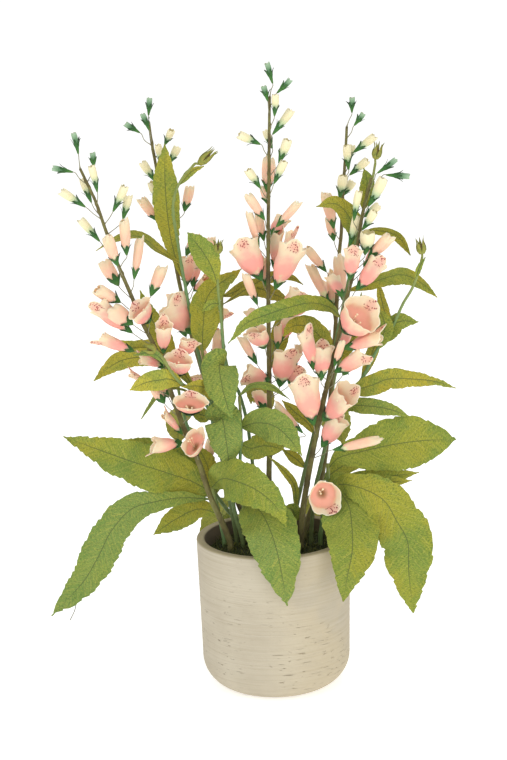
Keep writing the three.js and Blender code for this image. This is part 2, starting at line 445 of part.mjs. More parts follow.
const SPRAYS = {
  spray_upper_left: {
    stem: [[-14, 150, -6], [-34, 200, -10], [-52, 260, -16], [-66, 330, -14], [-77, 400, -12],
      [-81, 430, -10], [-85, 480, -10], [-76, 501, -14], [-63, 515, -14]],
    radii: [2.2, 1.2],
    leaves: [
      [398, [[-88, 440, -26], [-92, 490, -26], [-91, 534, -24]], 27, 0.62, 8, -8, 0.25],
      [418, [[-100, 433, -22], [-118, 447, -24], [-140, 445, -22], [-160, 435, -18]], 20, 0.5, 60, 66, 0.2],
      [494, [[-66, 508, -16], [-55, 512, -16]], 8, 0.5, 20, 20, 0.2],
    ],
    bud: [['g', -60, 514, -45, 527, 7, 0, 1]],
  },
  spray_centre_left: {
    stem: [[-22, 142, -2], [-28, 180, -2], [-34, 220, 0], [-40, 270, 3], [-42, 320, 6], [-44, 370, 8],
      [-46, 400, 8], [-45, 424, 8]],
    radii: [2.2, 1.2],
    leaves: [
      [400, [[-52, 418, 12], [-61, 434, 14], [-73, 450, 14]], 26, 0.56, 10, 10, 0.2],
      [382, [[-52, 381, 12], [-62, 374, 14]], 9, 0.5, 20, 0, 0.2],
      [322, [[-47, 321, 18], [-45, 300, 30], [-41, 282, 34], [-36, 267, 34]], 37, 0.34, 10, 0, 0.12],
    ],
    bud: [['g', -45, 429, -44, 441, 7, 1, 1]],
  },
  spray_lower_centre_left: {
    stem: [[-30, 137, -1], [-37, 175, 0], [-42, 213, 2], [-52, 266, 3], [-60, 315, 3], [-64, 342, 0]],
    radii: [2.4, 1.4],
    leaves: [
      [335, [[-61, 362, -6], [-55, 390, -18], [-23, 414, -28]], 31, 0.42, 10, 20, 0.2],
      [288, [[-59, 297, 14], [-67, 301, 28], [-84, 301, 36]], 16, 0.42, 0, 0, 0.1],
      [264, [[-46, 268, 22], [-43, 246, 29], [-41, 228, 23], [-39, 212, 17]], 37, 0.33, 10, 0, 0.12],
    ],
  },
  spray_left: {
    stem: [[-36, 142, -8], [-42, 190, -8], [-48, 230, -8], [-55, 268, -12], [-66, 291, -12],
      [-78, 300, 20], [-88, 308, 42], [-95, 319, 48], [-100, 328, 48], [-104, 334, 46]],
    radii: [2.2, 1.3],
    leaves: [
      [309, [[-97, 309, 46], [-106, 308, 47], [-118, 306, 48], [-134, 299, 48]], 21, 0.55, 0, -5, 0.15],
      [291, [[-92, 320, -24], [-112, 330, -42], [-138, 329, -46], [-155, 320, -44], [-168, 309, -40]], 20,
        0.66, 10, 5, 0.1],
      [291, [[-86, 320, -30], [-108, 338, -48], [-135, 341, -52], [-160, 349, -48]], 18, 0.6, 10, 10, 0.1],
      [287, [[-88, 299, -20], [-104, 298, -18], [-110, 290, -17], [-124, 270, -14]], 9, 0.6, 60, 50, 0.15],
      [269, [[-64, 272, -18], [-77, 277, -22]], 16, 0.45, 0, 10, 0.1],
      [332, [[-110, 335, 48], [-118, 335, 48], [-129, 333, 46]], 7, 0.5, 0, 0, 0.1],
    ],
    bud: [['g', -107, 337, -119, 341, 8, 0, 1]],
  },
  spray_low_left: {
    stem: [[-48, 146, -6], [-53, 175, -8], [-58, 200, -10]],
    radii: [2.4, 2],
    leaves: [
      [190, [[-75, 205, -12], [-100, 215, -4], [-130, 226, 4], [-165, 240, 10], [-200, 255, 14]], 47, 0.42,
        0, 0, 0.12],
      [184, [[-85, 190, 0], [-112, 187, 8], [-137, 180, 12], [-158, 158, 16], [-171, 134, 18],
        [-187, 108, 20], [-221, 72, 22]], 38, 0.6, 0, 0, 0.1],
      [170, [[-72, 178, -22], [-95, 168, -28], [-117, 153, -32]], 27, 0.5, 10, 10, 0.1],
      [194, [[-80, 226, -24], [-115, 243, -30], [-150, 249, -30]], 20, 0.5, 0, 0, 0.1],
      [192, [[-62, 222, -16], [-68, 236, -14], [-73, 246, -12]], 20, 0.45, 10, 10, 0.1],
      [188, [[-50, 206, -14], [-42, 222, -18], [-36, 236, -20]], 11, 0.5, 20, 20, 0.1],
      [198, [[-48, 208, 24], [-34, 205, 54], [-14, 195, 75], [3, 179, 86], [13, 157, 90]], 43, 0.5, 0, 0,
        0.08],
    ],
  },
  spray_front: {
    stem: [[-14, 138, 14], [-22, 170, 18], [-30, 215, 18], [-28, 255, 12], [-29, 290, 8]],
    radii: [2.3, 1.3],
    leaves: [
      [262, [[-14, 263, 20], [3, 260, 32], [17, 248, 40], [30, 229, 44]], 33, 0.45, 12, 0, 0.12],
      [246, [[-20, 238, 14], [-6, 240, 10], [13, 236, 6]], 25, 0.4, 0, 0, 0.1],
      [196, [[-18, 183, 44], [-6, 163, 72], [2, 138, 90], [8, 105, 96], [12, 76, 98]], 53, 0.47, 0, 0, 0.06],
      [292, [[-16, 301, 14], [0, 300, 17], [20, 285, 16]], 14, 0.5, 60, 60, 0.2],
    ],
  },
  spray_low_right: {
    stem: [[46, 148, -4], [50, 175, -4], [54, 200, -2], [55, 220, 4]],
    radii: [2.4, 1.8],
    leaves: [
      [196, [[64, 193, 20], [74, 178, 38], [77, 156, 58], [77, 132, 72], [72, 106, 80], [67, 79, 82]], 57,
        0.43, 0, 0, 0.08],
      [198, [[76, 198, 30], [97, 190, 42], [110, 180, 46], [121, 160, 48], [131, 140, 50], [132, 108, 50],
        [136, 65, 50]], 52, 0.58, 0, 0, 0.1],
      [200, [[66, 196, 14], [80, 190, 18], [95, 182, 20]], 20, 0.6, 10, 10, 0.1],
      [204, [[70, 201, 12], [90, 204, 18], [115, 206, 24], [143, 209, 28]], 20, 0.5, 10, 10, 0.15],
      [202, [[72, 198, 22], [95, 199, 30], [136, 201, 36]], 17, 0.55, 0, 0, 0.15],
      [216, [[66, 226, 12], [90, 232, 16], [120, 238, 20], [150, 241, 24], [179, 241, 26]], 55, 0.6, 0, 0,
        0.1],
    ],
  },
  spray_right: {
    stem: [[37, 150, -10], [42, 195, -4], [47, 215, -2], [52, 235, 0], [57, 255, 2], [70, 280, 4],
      [88, 302, 6], [103, 330, 10], [117, 350, 14], [130, 377, 26], [138, 390, 30], [144, 405, 32],
      [148, 420, 32]],
    radii: [2.3, 1.2],
    leaves: [
      [294, [[98, 297, 12], [115, 303, 18], [140, 302, 22], [160, 299, 24], [179, 292, 26]], 22, 0.3, 8, 8,
        0.15],
      [268, [[76, 277, 4], [92, 277, 12], [115, 273, 20], [135, 265, 24]], 17, 0.5, 0, 0, 0.15],
      [334, [[112, 354, 18], [110, 363, 20], [105, 372, 20]], 18, 0.5, 0, 0, 0.15],
      [342, [[124, 358, 16], [144, 358, 18]], 20, 0.42, 0, 0, 0.15],
      [328, [[113, 356, -6], [109, 380, -16], [105, 401, -20]], 11, 0.6, 0, 20, 0.15],
      [304, [[94, 316, 2], [102, 336, 0], [110, 354, -2]], 13, 0.5, 20, 20, 0.1],
      [404, [[146, 412, 36], [151, 420, 36]], 6, 0.5, 0, 0, 0.2],
    ],
    bud: [['g', 148, 423, 146, 437, 7, 0, 1]],
  },
  spray_back: {
    stem: [[-10, 150, -26], [-16, 200, -30], [-22, 262, -34], [-28, 290, -36], [-40, 322, -38],
      [-43, 355, -40], [-42, 394, -42]],
    radii: [2.2, 1.3],
    leaves: [
      [380, [[-14, 396, -50], [4, 390, -52], [23, 381, -54]], 18, 0.5, 0, 0, 0.1],
      [372, [[0, 404, -46], [22, 405, -50], [35, 397, -52]], 12, 0.6, 10, 20, 0.1],
    ],
  },
  spray_upper_right: {
    stem: [[16, 148, -2], [24, 180, -6], [34, 220, -10], [44, 258, -12], [58, 310, -12], [68, 355, -10],
      [78, 400, -8], [86, 440, -4], [94, 470, -2], [102, 495, 0], [105, 510, 0]],
    radii: [2.3, 1.2],
    leaves: [
      [466, [[96, 484, -6], [97, 495, -8], [94, 506, -8]], 16, 0.5, 10, 10, 0.15],
      [430, [[84, 448, -12], [78, 463, -14], [67, 473, -14], [49, 471, -12]], 23, 0.5, 10, 50, 0.15],
      [436, [[97, 446, -8], [112, 446, -8], [126, 440, -8], [137, 422, -6]], 14, 0.6, 50, 40, 0.15],
      [388, [[97, 396, -4], [115, 402, 0], [130, 404, 2], [148, 395, 4], [162, 381, 6]], 24, 0.55, 40, 50,
        0.2],
      [362, [[60, 374, 8], [42, 379, 22], [20, 375, 34], [0, 369, 38], [-20, 361, 38], [-38, 342, 34]], 20,
        0.5, 40, 5, 0.15],
      [306, [[57, 330, -8], [50, 346, -8], [36, 357, -6], [22, 356, -4], [15, 347, -2]], 23, 0.6, 20, 10,
        0.1],
      [248, [[36, 262, -6], [25, 272, -2], [12, 285, -2]], 14, 0.5, 0, 0, 0.1],
      [214, [[24, 226, -14], [11, 236, -16]], 12, 0.5, 0, 0, 0.1],
      [172, [[22, 198, 2], [12, 214, 8], [-3, 230, 10]], 10, 0.5, 30, 40, 0.1],
      [160, [[20, 174, 4], [11, 178, 10]], 16, 0.5, 0, 0, 0.1],
    ],
    bud: [['g', 105, 514, 109, 528, 7, 0, 1]],
  },
  spray_rear_left: {
    stem: [[-30, 156, -44], [-50, 185, -60], [-66, 215, -70], [-82, 270, -80], [-92, 330, -84]],
    radii: [2.3, 1.3],
    leaves: [
      [190, [[-95, 222, -98], [-128, 226, -118]], 40, 0.5, 0, 0, 0.12],
      [160, [[-48, 176, -88], [-52, 150, -112], [-50, 112, -124], [-44, 78, -128]], 46, 0.5, 0, 0, -0.1],
      [296, [[-100, 348, -98], [-112, 372, -108], [-120, 396, -112]], 22, 0.5, 0, 0, 0.12],
      [246, [[-84, 268, -104], [-88, 262, -130], [-90, 242, -146]], 34, 0.5, 0, 0, -0.1],
    ],
  },
  spray_rear_right: {
    stem: [[32, 156, -46], [48, 205, -62], [56, 250, -70], [62, 300, -76], [72, 336, -80]],
    radii: [2.3, 1.3],
    leaves: [
      [186, [[94, 232, -92], [140, 243, -114]], 26, 0.5, 0, 0, 0.12],
      [176, [[44, 184, -84], [48, 156, -108], [48, 112, -120], [44, 80, -124]], 44, 0.5, 0, 0, -0.1],
      [300, [[80, 350, -92], [88, 368, -98], [90, 388, -100]], 22, 0.5, 0, 0, 0.12],
      [232, [[60, 262, -98], [66, 260, -126], [70, 238, -142]], 34, 0.5, 0, 0, -0.1],
    ],
  },
  spray_rear_centre: {
    stem: [[-1, 160, -48], [-2, 230, -62], [0, 300, -70], [4, 345, -74]],
    radii: [2.3, 1.3],
    leaves: [
      [300, [[12, 350, -84], [18, 378, -94]], 20, 0.5, 0, 0, 0.12],
      [212, [[4, 248, -88], [2, 266, -98]], 24, 0.5, 0, 0, 0.12],
      [162, [[-4, 179, -87], [-2, 156, -113], [0, 118, -126], [2, 82, -129]], 46, 0.5, 0, 0, -0.1],
      [256, [[-6, 290, -92], [-14, 296, -112], [-18, 282, -126]], 26, 0.5, 0, 0, -0.1],
    ],
  },
};

// ---- pot and moss --------------------------------------------------------------------------------------

const POT_SIDES = 32;
const MOSS_SIDES = 16;
const BEND_STEPS = 6;
const INSIDE_BEND = 50;

// A round pot: a small flat foot, a quarter-round bend, and nearly straight walls up to a flat rim.
function pot() {
  const outline = [new THREE.Vector2(0, 0)];
  const bend = POT_WAIST - POT_FOOT_RADIUS;
  for (let step = 0; step <= BEND_STEPS; step += 1) {
    const turn = (Math.PI / 2) * (step / BEND_STEPS);
    outline.push(new THREE.Vector2(POT_FOOT_RADIUS + bend * Math.sin(turn), bend * (1 - Math.cos(turn))));
  }
  outline.push(new THREE.Vector2(POT_RADIUS, POT_HEIGHT - RIM_ROUND));
  outline.push(new THREE.Vector2(POT_RADIUS - RIM_ROUND / 2, POT_HEIGHT));
  outline.push(new THREE.Vector2(POT_INSIDE + RIM_ROUND / 2, POT_HEIGHT));
  outline.push(new THREE.Vector2(POT_INSIDE, POT_HEIGHT - RIM_ROUND));
  outline.push(new THREE.Vector2(POT_INSIDE, INSIDE_BEND));
  outline.push(new THREE.Vector2(POT_FOOT_RADIUS, POT_FLOOR));
  outline.push(new THREE.Vector2(0, POT_FLOOR));
  const body = new THREE.LatheGeometry(outline, POT_SIDES);
  body.rotateX(Math.PI / 2);
  return solidOf(body);
}

// The moss bed fills the pot from its floor to below the rim. Its top is a field of small tufts.
function moss(stems) {
  const random = seededRandom(7);
  const outer = POT_INSIDE * Math.cos(Math.PI / POT_SIDES) - 2 * CLEARANCE;
  const ring = (radius, height, rough) => Array.from({ length: MOSS_SIDES }, (_, step) => {
    const turn = (2 * Math.PI * step) / MOSS_SIDES;
    const lift = rough * (random() - 0.5);
    return new THREE.Vector3(radius * Math.cos(turn), radius * Math.sin(turn), height + lift);
  });
  const bed = loft([
    ring(POT_FOOT_RADIUS - 2, POT_FLOOR + CLEARANCE, 0),
    ring(outer, INSIDE_BEND + 4, 0),
    ring(outer, MOSS_LEVEL - 8, 0),
    ring(outer * 0.88, MOSS_LEVEL - 2, 4),
    ring(outer * 0.62, MOSS_LEVEL, 5),
    ring(outer * 0.34, MOSS_LEVEL + 1, 5),
    [new THREE.Vector3(0, 0, MOSS_LEVEL + 2)],
  ]);
  const holes = stems.map(({ stem, radii }) => {
    const foot = place(stem[0]);
    const hole = new THREE.CylinderGeometry(radii[0] + HOLE_EASE, radii[0] + HOLE_EASE, ROOT_DEPTH + 20, 6);
    hole.rotateX(Math.PI / 2);
    hole.translate(foot.x, foot.y, MOSS_LEVEL - ROOT_DEPTH - CLEARANCE + (ROOT_DEPTH + 20) / 2);
    return solidOf(hole);
  });
  return outerBody(solidOf(bed).subtract(wasm.Manifold.union(holes)));
}

// ---- the arrangement -----------------------------------------------------------------------------------

const arrangement = new THREE.Group();

function addPiece(name, solid, colour, roughness) {
  const material = new THREE.MeshStandardMaterial({ color: colour, roughness, metalness: 0 });
  const mesh = new THREE.Mesh(geometryOf(solid), material);
  mesh.name = name;
  arrangement.add(mesh);
}

addPiece('pot', pot(), '#cbc1ac', 0.85);
addPiece('moss', moss([...Object.values(SPIKES), ...Object.values(SPRAYS)]), '#25301a', 1);
Object.entries(SPIKES).forEach(([name, layout]) => addPiece(name, spike(layout), '#efb9a2', 0.8));
Object.entries(SPRAYS).forEach(([name, layout], order) => {
  addPiece(name, spray(layout, 11 + order), '#86993f', 0.8);
});

export default arrangement;
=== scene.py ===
"""Potted foxglove arrangement: a cream stone-like pot, dark moss, five foxglove spikes and leafy sprays.

Each piece is a surface worked out in numpy as a grid of points and put where the construction has it.
- A stalk is a circle carried along a smooth line through its own points, with knots and ripples.
- Petals are a flower tube in turn and height: its radius follows the stage's profile, its rim rises
  and falls with the lobes and the long lip, and the skin turns over the rim and runs back inside.
- A calyx is a funnel whose rim is cut into five pointed, curling teeth.
- A leaf is a strip across its midrib: its width swells and narrows along the midrib, its edges are
  toothed and folded up, and the blade ripples more the nearer it is to its edge.
- The pot is a profile turned about its axis, and the moss a rough bed with small curling sprigs.
"""

import bmesh
import bpy
import numpy as np
from mathutils import Matrix, Vector


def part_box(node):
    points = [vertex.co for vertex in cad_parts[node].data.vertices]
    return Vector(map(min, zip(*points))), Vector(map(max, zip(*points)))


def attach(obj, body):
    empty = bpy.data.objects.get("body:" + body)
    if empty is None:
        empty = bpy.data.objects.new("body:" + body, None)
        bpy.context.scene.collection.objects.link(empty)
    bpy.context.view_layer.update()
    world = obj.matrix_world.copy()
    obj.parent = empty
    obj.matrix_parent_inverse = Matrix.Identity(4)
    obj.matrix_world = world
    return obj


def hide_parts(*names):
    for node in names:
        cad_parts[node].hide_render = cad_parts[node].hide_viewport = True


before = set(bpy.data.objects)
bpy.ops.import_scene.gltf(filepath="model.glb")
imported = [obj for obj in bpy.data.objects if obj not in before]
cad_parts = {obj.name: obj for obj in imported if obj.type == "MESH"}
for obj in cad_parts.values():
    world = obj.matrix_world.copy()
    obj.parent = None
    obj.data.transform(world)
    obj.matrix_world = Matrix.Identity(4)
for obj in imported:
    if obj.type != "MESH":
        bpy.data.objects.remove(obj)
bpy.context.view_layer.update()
BODY = "root"
SEED = 4203

# ---- sizes, in metres -------------------------------------------------------------------------------------

MM = 0.001
POT_HEIGHT = float(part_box("pot")[1][2])
POT_RADIUS = float(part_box("pot")[1][0])
POT_WAIST = 72.5 * MM
POT_FOOT_RADIUS = 42 * MM
POT_INSIDE = 67 * MM
RIM_ROUND = 2 * MM
POT_FLOOR = 12 * MM
MOSS_LEVEL = 137 * MM
MOSS_OUTER = 66.2 * MM
ROOT_DEPTH = 42 * MM
WIRE_DROP = 13 * MM
LOBES = 5
FRONT_POINT = np.array([0, -1.8, 0.724])
TURN = 2 * np.pi

# ---- layout, in millimetres --------------------------------------------------------------------------------
# A place is [across, up, near]: where it stands on the upright plane through the pot's axis, and how far it
# then lies along the line of sight, towards FRONT_POINT (+) or away from it (-). A blossom is [stage, base
# across, base up, tip across, tip up, width, base nearness to its stem, extra nearness of the tip, turn of
# the long lip in degrees from the front, depth as a share of the width], and may leave out its last two. A
# leaf is [height where it leaves its stem, places along its midrib, width, widest share, roll at the root,
# roll at the tip, fold].

SPIKES = {
  "spike_left": {
    "stem": [[-42, 134, 8], [-52, 170, 9], [-60, 190, 10], [-70, 225, 12], [-85, 265, 14], [-97, 305, 14],
      [-108, 340, 14], [-119, 365, 14], [-128, 390, 14], [-141, 425, 14], [-150, 455, 14], [-158, 482, 14],
      [-163, 494, 14], [-171, 513, 14]],
    "radii": [3.3, 1.3],
    "blossoms": [
      ["g", -172, 527, -175, 547, 8, 0, 3], ["g", -178, 510, -197, 515, 8, 2, 4],
      ["g", -158, 513, -159, 528, 8, -3, 0], ["c", -156, 491, -160, 516, 7, 5, 6],
      ["c", -162, 481, -170, 504, 7, -8, -6], ["c", -168, 477, -190, 493, 8, 2, 4],
      ["c", -156, 444, -173, 466, 8, -7, -4], ["c", -142, 472, -129, 496, 8, 3, 4],
      ["c", -133, 464, -127, 487, 8, -5, -4], ["p", -140, 420, -150, 449, 11, 10, 8],
      ["p", -131, 430, -133, 464, 11, 4, 6], ["p", -125, 407, -118, 446, 10, -3, -8],
      ["p", -140, 401, -152, 424, 15, -8, -18], ["p", -139, 385, -161, 399, 14, 2, 8],
      ["b", -129, 355, -163, 383, 17, 2, 6, -20], ["p", -128, 363, -148, 379, 17, 12, -2],
      ["b", -113, 364, -121, 380, 25, 12, 10, 222, 0.4], ["p", -110, 390, -98, 419, 13, -4, -6],
      ["b", -128, 337, -161, 352, 17, 3, 4], ["b", -100, 334, -99, 363, 14, 10, 12, 180, 0.75],
      ["b", -99, 321, -124, 330, 15, 5, 4, 90, 0.6], ["p", -101, 326, -108, 337, 5, 10, 4],
      ["b", -87, 311, -85, 329, 23, 12, 12, 172, 0.5], ["b", -82, 330, -74, 347, 18, 4, 3, 30],
      ["b", -115, 304, -134, 316, 10, -6, 4, 90], ["p", -101, 285, -110, 301, 12, -8, -12],
      ["b", -85, 254, -103, 276, 11, 6, 6, 90, 0.7], ["b", -85, 245, -116, 244, 24, 12, 6, 285, 0.6],
      ["b", -72, 236, -75, 248, 27, 14, 16, 60, 0.6], ["b", -77, 274, -77, 286, 28, 12, 18, 178, 0.45],
      ["b", -97, 291, -104, 307, 13, -16, -18], ["b", -98, 340, -102, 360, 14, -12, -22],
    ],
  },
  "spike_back_left": {
    "stem": [[-20, 146, -22], [-32, 180, -30], [-48, 240, -42], [-60, 300, -50], [-72, 350, -52],
      [-82, 400, -55], [-88, 440, -57], [-93, 470, -58], [-99, 507, -58], [-103, 535, -58],
      [-105, 555, -58]],
    "radii": [3.2, 1.3],
    "blossoms": [
      ["g", -105, 561, -103, 577, 8, 1, 2], ["g", -105, 547, -110, 563, 8, 5, 2],
      ["g", -114, 545, -127, 554, 8, 1, 2], ["c", -91, 533, -84, 547, 7, 0, 6],
      ["c", -95, 514, -97, 534, 7, 7, 4], ["c", -88, 515, -79, 531, 8, -2, -4],
      ["c", -101, 499, -113, 518, 8, 0, 3], ["c", -99, 481, -105, 499, 9, 6, 6],
      ["p", -101, 462, -115, 484, 11, 2, 4], ["p", -75, 470, -69, 494, 11, -2, -6],
      ["b", -76, 398, -73, 428, 15, 9, 12], ["b", -70, 398, -65, 420, 14, -4, -18],
      ["b", -69, 394, -54, 408, 14, 2, 20], ["p", -54, 422, -51, 445, 11, -6, -8],
      ["p", -75, 428, -65, 449, 10, -6, -6], ["b", -72, 352, -92, 385, 30, 32, 6, 40],
      ["b", -57, 359, -40, 374, 16, 0, -12], ["p", -51, 325, -46, 357, 12, 4, 4],
      ["p", -58, 316, -66, 340, 11, -3, -4], ["b", -64, 293, -70, 311, 20, 8, 4],
      ["p", -62, 226, -56, 247, 11, 4, 8], ["b", -56, 262, -46, 278, 15, 4, -8],
      ["b", -90, 366, -88, 390, 15, -14, -22], ["b", -78, 350, -86, 376, 17, -14, -24],
    ],
  },
  "spike_centre": {
    "stem": [[-5, 144, -10], [-4, 180, -9], [-2, 222, -9], [0, 295, -10], [1, 350, -10], [2, 400, -10],
      [3, 440, -10], [4, 470, -10], [5, 490, -10], [6, 520, -10], [7, 550, -10], [8, 575, -10]],
    "radii": [3.2, 1.3],
    "blossoms": [
      ["g", 11, 587, 6, 606, 8, 0, 2], ["g", 15, 578, 28, 590, 8, -2, 0], ["g", 6, 571, 3, 585, 8, 5, 2],
      ["c", 12, 557, 14, 577, 7, 6, 4], ["c", 10, 540, 28, 562, 8, -3, -4],
      ["c", -2, 531, -22, 541, 8, 3, 6], ["c", 9, 527, 3, 544, 7, -8, -6],
      ["c", 15, 513, 24, 535, 9, 4, 4], ["p", 3, 486, 7, 519, 13, -9, -8],
      ["c", 10, 494, 20, 515, 8, 5, 5], ["c", -3, 490, -14, 508, 8, 4, 4],
      ["p", 3, 475, 0, 492, 8, -8, -6], ["p", 0, 460, -15, 485, 9, 7, 6],
      ["p", -6, 434, -15, 468, 8, 3, 4], ["p", -1, 440, -6, 465, 9, -8, -4],
      ["p", 11, 453, 33, 476, 9, 2, 4], ["b", -4, 402, -23, 439, 25, 3, 6, 0],
      ["b", 8, 412, 11, 449, 15, -8, -8], ["b", 8, 393, 27, 436, 22, 8, 8, 0],
      ["b", 14, 415, 25, 449, 12, 2, -10], ["p", 0, 396, -2, 424, 9, -9, -4],
      ["p", -9, 379, -20, 409, 9, 8, 4], ["b", 16, 366, 36, 388, 25, 4, 6, 0],
      ["b", -3, 336, -12, 355, 20, 9, 12], ["p", -11, 321, -25, 349, 10, -3, -6],
      ["p", 9, 335, 10, 358, 9, -7, -4], ["b", 10, 298, 18, 334, 24, 6, 4, 20],
      ["b", 1, 305, -24, 311, 21, 2, 8, -25], ["b", 19, 300, 29, 318, 16, -2, 4, 0],
      ["b", 24, 316, 31, 340, 12, -12, -6], ["p", 31, 252, 5, 281, 8, 18, 6],
      ["b", -6, 276, -8, 290, 17, -9, -22], ["b", -6, 350, -15, 374, 16, -12, -20],
      ["b", 8, 340, 24, 366, 18, -12, -22], ["b", 6, 445, 18, 462, 14, -12, -22],
    ],
  },
  "spike_back_right": {
    "stem": [[30, 146, -24], [40, 180, -32], [48, 205, -38], [54, 240, -42], [60, 300, -46], [64, 345, -46],
      [67, 385, -46], [70, 428, -46], [72, 445, -46], [74, 480, -46], [76, 504, -46], [78, 530, -46],
      [79, 545, -46]],
    "radii": [3.1, 1.3],
    "blossoms": [
      ["g", 84, 558, 84, 572, 8, 0, 2], ["g", 86, 546, 95, 557, 8, 1, 2],
      ["c", 85, 521, 105, 536, 8, 2, 4], ["c", 80, 505, 78, 528, 8, 8, 5],
      ["c", 81, 514, 84, 528, 7, -6, -4], ["c", 81, 500, 98, 514, 8, 4, 4],
      ["c", 71, 478, 75, 500, 9, 7, 5], ["c", 73, 480, 84, 494, 8, -6, -4],
      ["p", 65, 450, 59, 484, 12, 3, 5], ["p", 65, 438, 61, 460, 10, -6, -4],
      ["p", 57, 409, 39, 433, 10, 4, 8], ["p", 59, 378, 42, 416, 11, -2, 4],
      ["p", 72, 381, 69, 424, 12, 7, 6], ["p", 63, 371, 64, 409, 14, -7, -6],
      ["b", 60, 324, 54, 353, 16, -2, -8], ["b", 78, 420, 88, 446, 15, -10, -22],
      ["b", 66, 330, 76, 356, 17, -12, -24], ["b", 60, 378, 54, 398, 16, -14, -26],
    ],
  },
  "spike_front_right": {
    "stem": [[27, 140, 8], [29, 170, 9], [34, 200, 11], [42, 240, 13], [50, 275, 15], [60, 315, 17],
      [65, 335, 18], [70, 355, 18], [78, 390, 18], [83, 408, 18], [89, 445, 18], [94, 470, 18],
      [98, 485, 18], [101, 497, 18]],
    "radii": [3.3, 1.4],
    "blossoms": [
      ["g", 115, 499, 137, 497, 8, 2, 3], ["g", 107, 501, 125, 513, 8, -2, 0],
      ["c", 98, 470, 114, 496, 10, 3, 4], ["c", 84, 457, 89, 485, 7, 4, 4],
      ["c", 94, 460, 108, 471, 8, -7, -6], ["c", 92, 448, 105, 465, 8, 6, 6],
      ["c", 79, 431, 88, 462, 8, -3, -2], ["b", 79, 400, 84, 431, 15, 8, 8, 0],
      ["c", 94, 424, 97, 446, 14, 5, 6], ["p", 97, 421, 119, 442, 13, 2, 4],
      ["b", 85, 390, 109, 418, 16, 6, 2, 0], ["b", 72, 350, 92, 367, 33, 8, 20, 170, 0.75],
      ["b", 72, 334, 110, 345, 20, 9, 8, 280], ["b", 63, 311, 93, 327, 18, 5, 6, 30],
      ["p", 63, 317, 71, 342, 7, 8, 8], ["b", 43, 314, 36, 354, 16, 8, 4, 45],
      ["b", 50, 303, 51, 338, 18, 12, -8, 180], ["b", 42, 259, 33, 306, 25, 14, 6, 0],
      ["b", 51, 263, 75, 293, 28, 12, 14, 120, 0.5], ["b", 49, 237, 68, 266, 20, 8, -3, 190],
      ["p", 60, 234, 106, 243, 9, 18, 6], ["b", 46, 194, 51, 187, 26, 15, 24, 120, 1],
      ["b", 72, 384, 62, 404, 15, -9, -20], ["b", 93, 412, 104, 430, 14, -9, -20],
      ["b", 71, 308, 84, 326, 16, -9, -18],
    ],
  },
}

